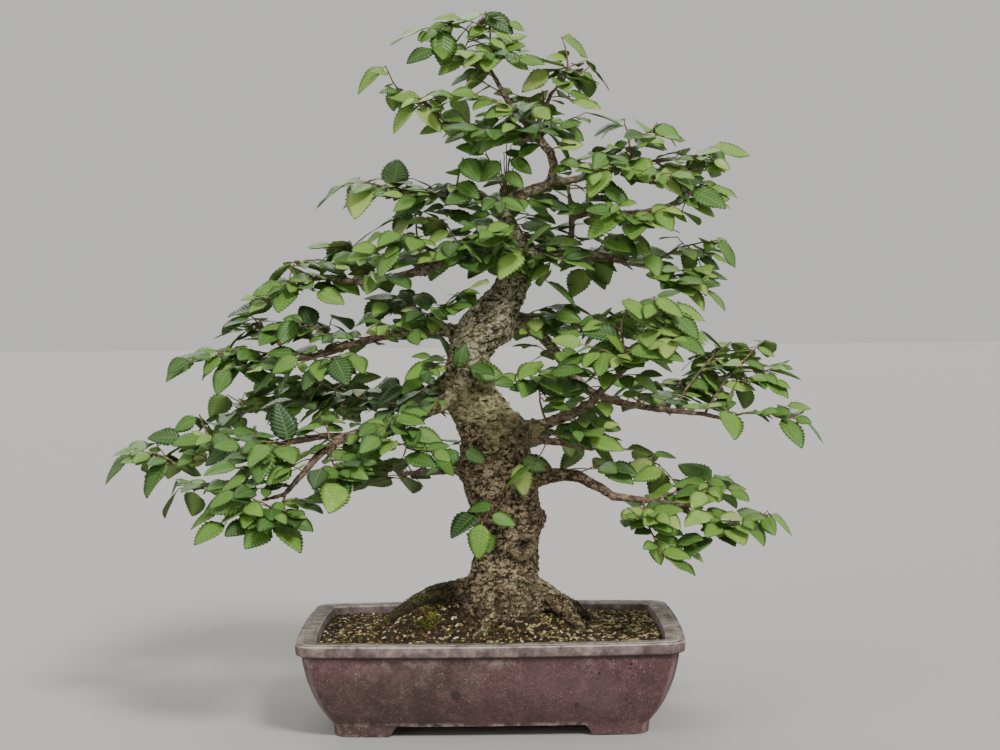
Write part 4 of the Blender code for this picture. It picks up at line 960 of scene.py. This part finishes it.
spray_nodes = sorted(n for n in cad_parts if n.startswith("leaves_"))
solids = {}
for node in spray_nodes:
    solid = welded(node)
    solids[node] = ([v.co.copy() for v in solid.verts], read_blades(solid))
    solid.free()
print("solid blades read:", sum(len(blades) for _, blades in solids.values()))

# %% [markdown]
# ### Shoots
# Each spray's stem leaves the bark where the solid one does, and runs in one soft bend to its furthest
# blade. Every other blade is joined to the nearest place on a shoot that is already there. Then the shoots
# fill up as real ones do: a smaller blade at each node between, left and right in turn, and here and there
# a new side shoot.

# %% Shoots and blades
SHOOT_RADII = {"stem": (1.5 * MM, 0.75 * MM), "side": (1.05 * MM, 0.6 * MM), "new": (0.85 * MM, 0.5 * MM)}
SHOOT_STEP = 7 * MM
WOBBLE = 0.7
LEAN = 0.75
LEAN_FROM = 60 * MM  # behind the middle of the pot, where blades lean neither to the front nor to the back


class Shoot:
    """A bent line of points that leaves the wood or another shoot."""

    def __init__(self, kind, start, control, end, rng):
        self.kind = kind
        steps = max(3, round((end - start).length / SHOOT_STEP))
        self.points = []
        for i in range(steps + 1):
            t = i / steps
            point = start.lerp(control, t).lerp(control.lerp(end, t), t)
            if 0 < i < steps:
                point = point + Vector([rng.uniform(-WOBBLE, WOBBLE) for _ in range(3)]) * MM
            self.points.append(point)

    def along(self, share):
        """The point and the direction at a share of the way."""
        at = share * (len(self.points) - 1)
        low = min(int(at), len(self.points) - 2)
        first, second = self.points[low], self.points[low + 1]
        return first.lerp(second, at - low), (second - first).normalized()

    def length(self):
        return sum((b - a).length for a, b in zip(self.points, self.points[1:]))


def turned(direction, aside, down):
    """A direction turned sideways and set to an angle below level, in degrees."""
    level = Vector((direction.x, direction.y, 0))
    level = level.normalized() if level.length > 1e-6 else Vector((1, 0, 0))
    level.rotate(Matrix.Rotation(math.radians(aside), 3, "Z"))
    return level * math.cos(math.radians(down)) - Vector((0, 0, math.sin(math.radians(down))))


def blade_up(axis, foot, rng):
    """The upper side leans toward whoever looks from that side of the tree."""
    toward = max(-1, min(1, (foot.y - pot_middle.y - LEAN_FROM) / LEAN_FROM))
    facing = Vector((rng.uniform(-0.45, 0.45), LEAN * toward + rng.uniform(-0.4, 0.4), 1))
    side = axis.cross(facing).normalized()
    return side.cross(axis)


# %% [markdown]
# ### Where a blade may be
# A blade is left out where it would cut through another or through the wood, or reach past the solid
# crown's outline, and also where it would hide what the photograph shows: the front of the trunk, the gaps
# of open air between the tiers, and the stretches of limb that stand bare. The outline is kept as numbers:
# for each level how far the solid blades reach in twelve ways, and for each column from left to right how
# high and how low. The placed blades are kept in cells the size of a blade, so that a new one is only
# compared with its neighbours.

# %% Where a blade may be
BAND = 10 * MM
BAND_LOOK = 20 * MM
SPARE = 5 * MM
CELL = 50 * MM
ROOM = 0.4 * MM
LENS_HALF, LENS_FOLD, LENS_THICK = 0.27, 1.2 * MM, 0.5 * MM  # of the lens that stands in for a blade
MOST_BLADES = 2800
TRUNK_GIRTH = 30 * MM
TRUNK_LOOK = 400 * MM  # a blade further in front of the trunk doesn't count
TRUNK_SHOWN = (130 * MM, 480 * MM)  # the heights between which the front of the trunk is kept clear
OPEN_AIR = (  # gaps as the camera sees them: x from the pot's middle, and height, least and most, in mm
    (-134, -88, 389, 415), (-110, -85, 269, 315), (-131, -19, 175, 268), (-340, -275, 333, 370),
    (43, 84, 282, 325), (23, 69, 326, 361), (151, 302, 300, 339), (84, 165, 281, 299), (64, 131, 230, 281),
    (64, 142, 130, 230), (76, 169, 463, 494),
)
BARE_LIMBS = (  # where a limb shows bare, as seen in the same way
    (-246, -157, 240, 320), (31, 84, 306, 346), (-207, -118, 391, 426), (88, 300, 308, 350),
)
LIMB_BEHIND = 200 * MM  # a limb that is further behind a blade doesn't count
TWELVE = np.array([(math.cos(k * math.pi / 6), math.sin(k * math.pi / 6)) for k in range(12)])
UP_AND_DOWN = np.array([(1.0,), (-1.0,)])

cloud = np.array([tuple(p) for corners, _ in solids.values() for p in corners])


def reach_by(along, across, ways):
    """For each band of one axis, how far the solid blades reach in each way across it."""
    reach = {}
    for band in range(int(cloud[:, along].min() / BAND) - 2, int(cloud[:, along].max() / BAND) + 3):
        near = cloud[np.abs(cloud[:, along] - band * BAND) < BAND_LOOK]
        reach[band] = (near[:, across] @ ways.T).max(axis=0) if len(near) else np.full(len(ways), -9.0)
    return reach


level_reach = reach_by(2, [0, 1], TWELVE)
column_reach = reach_by(0, [2], UP_AND_DOWN)
print("levels:", len(level_reach), "columns:", len(column_reach))


def outside(point):
    level, column = level_reach.get(round(point.z / BAND)), column_reach.get(round(point.x / BAND))
    if level is None or column is None:
        return True
    return bool((TWELVE @ (point.x, point.y) > level + SPARE).any()
                or point.z > column[0] + SPARE or -point.z > column[1] + SPARE)


def hides_trunk(point):
    """True where a straight look from the front at the point would have met the trunk."""
    spot, _, face, _ = fine_tree.ray_cast(point, Vector((0, 1, 0)), TRUNK_LOOK)
    if face is None or not TRUNK_SHOWN[0] < spot.z < TRUNK_SHOWN[1]:
        return False
    return girth[fine_wood.polygons[face].vertices[0]] > TRUNK_GIRTH


def shows_in(point, areas):
    """True where the point shows in one of the areas, on the upright plane through the pot's middle."""
    share = CAMERA_AWAY / (CAMERA_AWAY + point.y - pot_middle.y)
    x = (camera.location.x + (point.x - camera.location.x) * share - pot_middle.x) / MM
    z = (camera.location.z + (point.z - camera.location.z) * share) / MM
    return any(left < x < right and low < z < high for left, right, low, high in areas)


def hides_limb(point):
    """True where the point would stand in front of a limb on one of its bare stretches."""
    look = (point - camera.location).normalized()
    return shows_in(point, BARE_LIMBS) and fine_tree.ray_cast(point, look, LIMB_BEHIND)[0] is not None


def proxy(blade, room):
    """A thin closed lens in place of a blade, to find what it would cut through."""
    half = blade.length * LENS_HALF + room
    ring = ((0.16, 0, 0), (0.36, half, LENS_FOLD), (0.75, half * 0.75, 0), (1.0, 0, -TIP_DROP),
            (0.75, -half * 0.75, 0), (0.36, -half, LENS_FOLD))
    poles = ((0.5, 0, LENS_THICK + room), (0.5, 0, -LENS_THICK - room))
    points = [blade.foot + blade.axis * (along * blade.length) + blade.side * across + blade.up * height
              for along, across, height in (*ring, *poles)]
    return BVHTree.FromPolygons(points, [(i, (i + 1) % 6, pole) for i in range(6) for pole in (6, 7)])


def cells_near(point, size):
    """The cell a point is in, and the ones round it."""
    x, y, z = (int(v // size) for v in point)
    return [(x + i, y + j, z + k) for i in (0, -1, 1) for j in (0, -1, 1) for k in (0, -1, 1)]


placed = {}
kept_blades = []


def keep_blade(blade):
    placed.setdefault(cells_near(blade.middle, CELL)[0], []).append((blade, proxy(blade, 0)))
    kept_blades.append(blade)


def crowded(blade, room):
    lens = proxy(blade, room)
    for cell in cells_near(blade.middle, CELL):
        for other, other_lens in placed.get(cell, ()):
            reach = (other.length + blade.length) / 2
            if (other.middle - blade.middle).length < reach and lens.overlap(other_lens):
                return True
    return bool(lens.overlap(wood_tree))


def fits(blade):
    aside = blade.side * (blade.length * 0.25)
    ends = (blade.tip, blade.middle + aside, blade.middle - aside)
    return not (any(outside(point) for point in ends)
                or any(hides_trunk(point) for point in (*ends, blade.foot))
                or any(shows_in(point, OPEN_AIR) for point in (blade.tip, blade.middle))
                or any(hides_limb(point) for point in (*ends, blade.middle, blade.foot))
                or len(kept_blades) >= MOST_BLADES or crowded(blade, ROOM))


for _, blades in solids.values():
    for blade in blades:
        keep_blade(blade)

# %% [markdown]
# ### The growers
# One function carries a solid spray's own blades, one fills a shoot with blades, and one grows a shoot that
# ends in a blade. A few blades are then hung where the photograph shows them, in front of the trunk and
# beside the leader. Last come the spurs: short leafy shoots straight out of a limb's bark, which is what
# hides most of the limbs of a tree in full leaf.

# %% Growing stems and side shoots
NODE_SPACING = (8 * MM, 13 * MM)
BLADE_LENGTHS = (18 * MM, 43 * MM)
SIDE_TURN = (32, 68)
TIP_TURN = (-25, 25)
SHOOT_TURN = (-75, 75)
DROOP = (-12, 34)
NEW_SHOOTS = (3, 5)
NEW_LENGTHS = (20 * MM, 48 * MM)
NEW_LIFTS = (-24, 20)
STARTS = (0.2, 0.92)  # where a new shoot leaves another, as a share of the way
ATTEMPTS = 6
SHORTER, SHORTER_TIP = 0.92, 0.95  # after each attempt that found no room
BARE_STEM = 7 * MM
JOINTS = 16  # places on a shoot where a side shoot may leave it
AHEAD = 6 * MM  # what it is worth to be on the way
END_GAP = 4 * MM  # from the last node to the end
IN_BARK = 1.5 * MM  # how deep a shoot starts
NO_SHOOT = 1.5 * MM  # a blade's foot this near to a shoot needs none of its own


def nearest_on(shoots, target):
    """The best place on the shoots to reach a blade's foot from: near, and on the way there."""
    best = None
    for shoot in shoots:
        for step in range(1, JOINTS + 1):
            place, way = shoot.along(step / JOINTS)
            if (place - shoots[0].points[0]).length < BARE_STEM:
                continue
            gap = target - place
            cost = gap.length - AHEAD * way.dot(gap.normalized()) if gap.length > 0 else 0
            if best is None or cost < best[0]:
                best = (cost, place, way)
    return best[1:]


def grow_stems(corners, blades, rng):
    """The stem and side shoots that carry a solid spray's own blades."""
    corners = sorted(corners, key=lambda p: wood_tree.find_nearest(p)[3])[:3]
    start = sum(corners, Vector()) / 3
    bark_point, normal, _, _ = wood_tree.find_nearest(start)
    blades = sorted(blades, key=lambda b: (b.foot - start).length)
    far = blades[-1].foot
    control = start + (normal + (far - start).normalized()).normalized() * 0.4 * (far - start).length
    shoots = [Shoot("stem", bark_point - normal * IN_BARK, control, far, rng)]
    for blade in blades[:-1]:
        place, way = nearest_on(shoots, blade.foot)
        gap = (blade.foot - place).length
        if gap > NO_SHOOT:
            shoots.append(Shoot("side", place, place + way * 0.35 * gap, blade.foot, rng))
    return shoots


def try_blade(foot, way, turn, shorter, rng):
    """A blade that starts at a foot, kept if it fits."""
    axis = turned(way, turn, rng.uniform(*DROOP))
    blade = Blade(foot, axis, blade_up(axis, foot, rng), rng.uniform(*BLADE_LENGTHS) * shorter)
    if fits(blade):
        keep_blade(blade)
        return blade


def fill_shoot(shoot, rng):
    """Blades at the nodes between a shoot's ends, left and right in turn."""
    grown = []
    length = shoot.length()
    at = rng.uniform(*NODE_SPACING)
    hand = rng.choice((-1, 1))
    while at < length - END_GAP:
        foot, way = shoot.along(at / length)
        for attempt in range(ATTEMPTS):
            blade = try_blade(foot, way, hand * rng.uniform(*SIDE_TURN), SHORTER ** attempt, rng)
            if blade:
                grown.append(blade)
                break
        hand = -hand
        at += rng.uniform(*NODE_SPACING)
    return grown


def tip_shoot(start, way, lengths, lifts, rng):
    """A shoot that ends in a blade, if there is room for one."""
    for attempt in range(ATTEMPTS):
        outward = turned(way, rng.uniform(*SHOOT_TURN), rng.uniform(*lifts))
        end = start + outward * rng.uniform(*lengths) * SHORTER ** attempt
        blade = try_blade(end, outward, rng.uniform(*TIP_TURN), SHORTER_TIP ** attempt, rng)
        if blade:
            return Shoot("new", start, start.lerp(end, 0.5) + way * 3 * MM, end, rng), blade


sprays = {}
for node, (corners, blades) in solids.items():
    rng = random.Random(node)
    shoots = grow_stems(corners, blades, rng)
    blades = blades + [blade for shoot in shoots for blade in fill_shoot(shoot, rng)]
    fresh = []
    for _ in range(rng.randint(*NEW_SHOOTS) + len(shoots)):
        found = tip_shoot(*rng.choice(shoots).along(rng.uniform(*STARTS)), NEW_LENGTHS, NEW_LIFTS, rng)
        if found:
            fresh.append(found[0])
            blades.append(found[1])
    blades += [blade for shoot in fresh for blade in fill_shoot(shoot, rng)]
    sprays[node] = (shoots + fresh, blades)
print("shoots:", sum(len(s) for s, _ in sprays.values()), "blades:", len(kept_blades))

# %% [markdown]
# Each hanging blade is given by its foot and tip, as x from the pot's middle and height, then the tilt of
# its upper side toward the camera, how far off the bark its foot hangs, and its tone. All are in
# millimetres but the tilt and the tone. It moves toward the camera step by step until it touches nothing.

# %% Hanging blades and spurs
HANGING = {  # for a spray, the place on the bark where the shoots start, and the blades
    "leaves_trunk_front_1": ((9, 243), ((-8, 228, -15, 189, 1.4, 22, 0.66), (5, 241, -24, 237, 0.7, 12, 0.3),
                                        (1, 231, 28, 219, 1.2, 12, 0.55))),
    "leaves_trunk_high_1": ((31, 288), ((34, 290, 68, 279, 1.6, 12, 0.3), (33, 287, 38, 250, 2.6, 16, 0.9))),
    "leaves_left_middle_1": ((-34, 302), ((-31, 298, -60, 284, 1.8, 30, 0.35),
                                          (-27, 301, -3, 286, 1.8, 24, 0.3),
                                          (-8, 312, 17, 317, 1.2, 12, 0.15))),
    "leaves_leader_left_1": ((-36, 392), ((-33, 388, -25, 416, 2.5, 16, 0.2),
                                          (-21, 391, 18, 378, 1.4, 12, 0.5))),
    "leaves_leader_1": ((20, 582), ((23, 634, -10, 646, 1.2, 4, 0.5), (28, 632, 56, 650, 1.0, 0, 0.6),
                                    (12, 612, -28, 609, 0.8, 8, 0.7), (16, 615, -6, 592, 1.6, 14, 0.45),
                                    (26, 618, 50, 600, 1.2, 6, 0.55), (20, 626, 44, 622, 0.8, -8, 0.35),
                                    (22, 604, 40, 584, 1.8, 16, 0.6), (10, 640, 2, 664, 1.5, 2, 0.4),
                                    (0, 622, -32, 631, 1.0, 12, 0.5), (34, 618, 60, 632, 0.9, 10, 0.6),
                                    (-4, 634, -30, 648, 1.2, 4, 0.7), (14, 640, 40, 646, 1.0, 14, 0.45))),
}
STEPS_OFF = (0, 4, 8, 13, 19, 26, 34, 42, 50)
HANGING_ROOM = 0.2 * MM
SPUR_GIRTH = (3 * MM, 27 * MM)
SPUR_FLOOR = 270 * MM
SPUR_SPACING = 15 * MM
SPUR_LENGTHS = (14 * MM, 46 * MM)
SPUR_LIFTS = (-34, 14)

hung = 0
for node, ((root_x, root_z), hangers) in HANGING.items():
    ahead = Vector((pot_middle.x + root_x * MM, -0.4, root_z * MM))
    bark_point = fine_tree.ray_cast(ahead, Vector((0, 1, 0)))[0]
    bark_point = bark_point or fine_tree.find_nearest(Vector((ahead.x, pot_middle.y, ahead.z)))[0]
    for foot_x, foot_z, tip_x, tip_z, tilt, off, tone in hangers:
        for more in STEPS_OFF:
            level = bark_point.y - (off + more) * MM
            foot = Vector((pot_middle.x + foot_x * MM, level, foot_z * MM))
            tip = Vector((pot_middle.x + tip_x * MM, level - 5 * MM, tip_z * MM))
            axis = (tip - foot).normalized()
            side = axis.cross(Vector((0, -tilt, 1))).normalized()
            blade = Blade(foot, axis, side.cross(axis), (tip - foot).length, tone)
            if not crowded(blade, HANGING_ROOM):
                keep_blade(blade)
                control = (bark_point + foot) / 2 + Vector((0, 0, 3 * MM))
                start = bark_point + Vector((0, IN_BARK, 0))
                sprays[node][0].append(Shoot("new", start, control, foot, rng))
                sprays[node][1].append(blade)
                hung += 1
                break
print("blades in front of the trunk:", hung)

owners = [node for node, (corners, _) in solids.items() for _ in corners]
owner_tree = KDTree(len(owners))
for number, point in enumerate(cloud):
    owner_tree.insert(point, number)
owner_tree.balance()
rng = random.Random(41)
bare = [i for i in range(len(spots)) if SPUR_GIRTH[0] < girth[i] < SPUR_GIRTH[1] and spots[i][2] > SPUR_FLOOR]
rng.shuffle(bare)
spurs = 0
near_spurs = {}
for i in bare:
    start, out = Vector(spots[i]), Vector(outs[i])
    cells = cells_near(start, SPUR_SPACING)
    if any((near_spurs[cell] - start).length < SPUR_SPACING for cell in cells if cell in near_spurs):
        continue
    near_spurs[cells[0]] = start
    outward = (start - pot_middle).normalized() * 0.7 + out
    found = tip_shoot(start - out * MM, outward, SPUR_LENGTHS, SPUR_LIFTS, rng)
    if found:
        shoots, blades = sprays[owners[owner_tree.find(start)[1]]]
        shoots.append(found[0])
        blades += [found[1], *fill_shoot(found[0], rng)]
        spurs += 1
print("spurs:", spurs, "blades:", len(kept_blades))

# %% [markdown]
# ### The blade
# A real blade is 0.3 mm thick, oval, widest before its middle, uneven at its foot and drawn out at its tip.
# Straight side veins run in pairs from the rib to its teeth. So the mesh is laid out along the veins: each
# tooth has a vein that starts on the rib, crosses the middle of its half and ends in the tooth's point. Its
# map holds how far a point is from the rib, and which vein it is on, and the material draws the veins from
# that. The map of the underside lies 2 further on, and that of the stalk 5.

# %% Blade meshes
TEETH = 10
STALK = 0.07  # share of the length
STALK_HALF = 0.012
HALF_WIDTH = 0.31
TOOTH = 0.03
VEIN_SLANT = 1.6  # how many teeth further on a side vein ends than it starts
THICK = 0.008
UNEVEN = 0.012  # how much further on one side's teeth are at the foot
BLADE_KINDS = {  # how much each is folded, curled down, waved and bent sideways
    "flat": (0.12, 0.14, 0.02, 0.0), "cupped": (0.30, 0.10, 0.03, 0.03), "arched": (0.06, 0.30, 0.04, -0.03),
    "waved": (0.16, 0.18, 0.10, 0.02), "bent": (0.02, 0.20, 0.05, 0.06),
}


def half_width(t):
    """The smooth outline: 0 at the foot and the tip, 1 where the blade is widest."""
    return math.sin(math.pi * t ** 0.75) ** 0.8 if 0 < t < 1 else 0.0


def blade_mesh(name, fold, curl, wave, sway):
    """A blade one unit long with its stalk, its foot at the origin, its tip toward +X, its face up."""
    leaf = bmesh.new()
    uv = leaf.loops.layers.uv.new("blade")

    def at(t, across, lift=0.0):
        rise = fold * abs(across) + wave * math.sin(9 * t + 3 * across) * abs(across)
        drop = curl * max(0.0, t - RIB_PLACE) ** 1.3
        return leaf.verts.new(Vector((STALK + (1 - STALK) * t, across + sway * t * t, rise - drop + lift)))

    def face(points, maps, flip):
        points, maps = (points[::-1], maps[::-1]) if flip else (points, maps)
        made = leaf.faces.new(points)
        made.smooth = True
        for loop, place in zip(made.loops, maps):
            loop[uv].uv = place

    ribs = [at(k / TEETH, 0, THICK) for k in range(TEETH)]
    ribs_low = [at(k / TEETH, 0, -1.6 * THICK) for k in range(TEETH)]
    tip = at(1.0, 0)
    for hand in (1, -1):
        mids, points, notches = [], [], []
        for k in range(TEETH):
            t = k / TEETH
            ahead = t + (0.3 + VEIN_SLANT * half_width(t)) / TEETH + hand * UNEVEN * (1 - t)
            width = HALF_WIDTH * half_width(ahead) + TOOTH * (0.5 if k == 0 else 1)
            points.append(at(min(ahead, 0.985), hand * width))
            mids.append(at((t + ahead) / 2, hand * width * 0.52, THICK))
            later = ahead + 0.35 / TEETH
            notches.append(at(min(later, 0.99), hand * (HALF_WIDTH * half_width(later) * 0.95 + 0.002)))
        flip = hand < 0
        for k in range(TEETH - 1):
            rib, rib_low, mid, point, notch = (row[k] for row in (ribs, ribs_low, mids, points, notches))
            next_rib, next_low, next_mid, next_point = (row[k + 1] for row in (ribs, ribs_low, mids, points))
            a, b = k / TEETH, (k + 1) / TEETH
            c = (a + b) / 2
            face([rib, next_rib, next_mid, mid], [(0, a), (0, b), (0.5, b), (0.5, a)], flip)
            face([mid, next_mid, notch, point], [(0.5, a), (0.5, b), (0.95, c), (1, a)], flip)
            face([next_mid, next_point, notch], [(0.5, b), (1, b), (0.95, c)], flip)
            face([rib_low, point, notch, next_low], [(0, a + 2), (1, a + 2), (0.95, c + 2), (0, b + 2)], flip)
            face([next_low, notch, next_point], [(0, b + 2), (0.95, c + 2), (1, b + 2)], flip)
        last = (TEETH - 1) / TEETH
        face([ribs[-1], tip, mids[-1]], [(0, last), (0, 1), (0.5, last)], flip)
        face([mids[-1], tip, points[-1]], [(0.5, last), (0, 1), (1, last)], flip)
        face([ribs_low[-1], points[-1], tip], [(0, last + 2), (1, last + 2), (0, 3)], flip)
        face([ribs[0], mids[0], points[0]], [(0, 0), (0.5, 0), (1, 0)], flip)
        face([ribs_low[0], ribs[0], points[0]], [(0, 2), (0, 2), (1, 2)], flip)
    foot, neck = ([leaf.verts.new(Vector((x, y * STALK_HALF, z * thick)))
                   for y, z in ((1, -1), (-1, -1), (0, 1))]
                  for x, thick in ((0, STALK_HALF), (STALK * 1.3, 0.014)))
    for i in range(3):
        j = (i + 1) % 3
        face([foot[i], foot[j], neck[j], neck[i]], [(0, 5)] * 4, True)
    face(foot, [(0, 5)] * 3, False)
    face(neck, [(0, 5)] * 3, True)
    return mesh_from(leaf, name)


blade_meshes = [blade_mesh("blade_" + name, *form) for name, form in BLADE_KINDS.items()]
blade_shapes = shape_collection("blade_shapes", blade_meshes)
print("faces in a blade:", len(blade_meshes[0].polygons))

# %% [markdown]
# ### Elm leaf
# The upper side is a deep satin green with fine lighter veins and a light edge, and each leaf has its own
# tone: blue-green when old, yellow-green when young, a few with tan blotches or a scorched tip. Blades at the
# top and on the right get lighter, yellower tones as painted sunlight. The underside is paler and dull, and
# the stalk is tinged brown. The wax on the upper side gives a broad soft gloss, so the roughness is middling
# and there's no coat.

# %% Elm leaf material
elm_leaf, add, shader = new_material("elm_leaf", 0.42, IOR=1.45)
where = add(PLACE).outputs["Object"]
from_rib, along, _ = add(SPLIT, add("ShaderNodeUVMap", uv_map="blade")).outputs
own = add(KEPT, attribute_name="tone").outputs["Fac"]
mottle = add(NOISE, where, Scale=110.0, Detail=5.0, Roughness=0.6)
greens = add(RAMP, add(TIMES_PLUS, mottle, 0.26, own), stops=[
    (0.08, "22401c"), (0.3, "375b23"), (0.52, "4b742a"), (0.76, "668f36"), (0.94, "7da242"), (1.0, "96b356")])
vein_way = add(MATH, add(TIMES, along, float(TEETH)), 0.5, operation="PINGPONG")
side_vein = add(EASE, vein_way, 0.01, 0.16, 1.0, 0.0)
veins = add(MOST, side_vein, add(EASE, from_rib, 0.01, 0.07, 1.2, 0.0))
veins = add(MOST, veins, add(EASE, from_rib, 0.9, 1.0, 0.0, 0.8))
blotch = add(NOISE, where, Scale=190.0, Detail=3.0, Roughness=0.5)
scorch = add(TIMES_PLUS, blotch, 0.5, along)
is_under = add(MORE, along, 1.5)
under = add(OVER, 0.45, greens, "71864a")
leaf = lay(
    greens,
    ("9dba6c", veins, 0.25),
    ("b3a67e", (blotch, 0.58, 0.63, 0.0, 0.85), add(MORE, own, 0.86)),
    ("5c4020", (scorch, 0.98, 1.08), add(MATH, own, 0.30, 0.008, operation="COMPARE")),
    (under, is_under),
    ("8a8040", add(MORE, along, 4.0)))
sunk = add(TIMES_PLUS, mottle, 0.25, vein_way)
feed(shader, Base_Color=leaf, Roughness=add(RANGE, is_under, 0.0, 1.0, 0.43, 0.75),
     Normal=add(BUMP, Strength=0.7, Distance=0.8 * MM, Height=sunk))

# %% [markdown]
# ### Setting the blades with Geometry Nodes
# A carrier holds one point for each blade, with its turn, length, tone and kind as attributes. The tree
# puts one of the blade shapes on each point and turns it, and the shoots become tubes whose radius is kept
# on their points. One mesh of blades and one of shoots stand for all the sprays of a limb.

# %% The foliage trees
leafing, add, given = new_tree("set_blades", Shapes="Collection", Material="Material")
shapes = add(SHAPES_OF, given["Shapes"], Separate_Children=True, Reset_Children=True)
turn = add(NUMBER, "turn", data_type="FLOAT_VECTOR")
kind, length = add(NUMBER, "kind"), add(NUMBER, "length")
blades_set = add(SHAPES_ON, given["Geometry"], Instance=shapes, Pick_Instance=True,
                 Instance_Index=kind, Rotation=turn, Scale=length)
end_tree(add, blades_set, given)

shooting, add, given = new_tree("grow_shoots", Sides="Int", Material="Material")
tubes = add("GeometryNodeCurveToMesh", add(TO_CURVE, given["Geometry"]), Fill_Caps=True,
            Profile_Curve=add(CIRCLE, Resolution=given["Sides"], Radius=1.0),
            Scale=add(NUMBER, "thickness"))
end_tree(add, add("GeometryNodeSetShadeSmooth", tubes), given)

# %% [markdown]
# ### Young shoots
# New elm shoots are thin, red-brown and slightly glossy, with pale dots of breathing pores.

# %% Shoot material
shoot_skin, add, shader = new_material("young_elm_shoot", 0.6)
where = add(PLACE).outputs["Object"]
streak = add(NOISE, where, Scale=160.0, Detail=3.0)
browns = add(RAMP, streak, stops=[(0.3, "3b291d"), (0.5, "66503c"), (0.7, "917657")])
pore = add(RANGE, add(CELLS, where, Scale=420.0), 0.1, 0.25, 0.5, 0.0)
feed(shader, Base_Color=lay(browns, ("b09a78", pore)))

# %% [markdown]
# ### Sprays by limb
# The sprays of one limb make two pieces, its blades and its shoots, and both stand for that limb's solids.

# %% Blades and shoots of each limb
TONE, TONE_SPREAD = 0.42, 0.21
SUNLIT_TONE = 0.19  # painted light: how much lighter and yellower the blades are made where the most sun falls
SHADE_TOP, SHADE_RIGHT = (400 * MM, 300 * MM), (20 * MM, 200 * MM)  # where the shade ends, and how softly
SHOOT_SIDES = 6


def sunlit_share(foot):
    """The share of painted sunlight: 1 for a blade at the top or on the right, 0 low on the left."""
    return as_share(max((foot.z - SHADE_TOP[0]) / SHADE_TOP[1], (foot.x - SHADE_RIGHT[0]) / SHADE_RIGHT[1]))


by_limb = {}
for node in spray_nodes:
    by_limb.setdefault(node.removeprefix("leaves_").rsplit("_", 1)[0], []).append(node)

rng = random.Random(29)
for limb, nodes in by_limb.items():
    blades = [blade for node in nodes for blade in sprays[node][1]]
    turns = [Matrix((blade.axis, blade.side, blade.up)).transposed().to_euler() for blade in blades]
    tones, kinds = [], []
    for blade in blades:
        tone = blade.tone
        if tone is None:
            tone = rng.gauss(TONE, TONE_SPREAD) + SUNLIT_TONE * sunlit_share(blade.foot)
        tones.append(as_share(tone))
        kinds.append(rng.randrange(len(blade_meshes)))
    points, edges, radii = [], [], []
    for shoot in [shoot for node in nodes for shoot in sprays[node][0]]:
        first, last = SHOOT_RADII[shoot.kind]
        base, steps = len(points), len(shoot.points) - 1
        points += shoot.points
        edges += [(base + i, base + i + 1) for i in range(steps)]
        radii += [first + (last - first) * i / steps for i in range(steps + 1)]
    feet = carrier_of("feet", [blade.foot for blade in blades], turn=turns, tone=tones, kind=kinds,
                      length=[blade.length for blade in blades])
    lines = carrier_of("lines", points, edges, thickness=radii)
    leaves = run_tree("blades_" + limb, feet, leafing, Shapes=blade_shapes, Material=elm_leaf)
    stems = run_tree("shoots_" + limb, lines, shooting, Sides=SHOOT_SIDES, Material=shoot_skin)
    hand_over(leaves, "leaf", *nodes)
    hand_over(stems, "bark", *nodes)
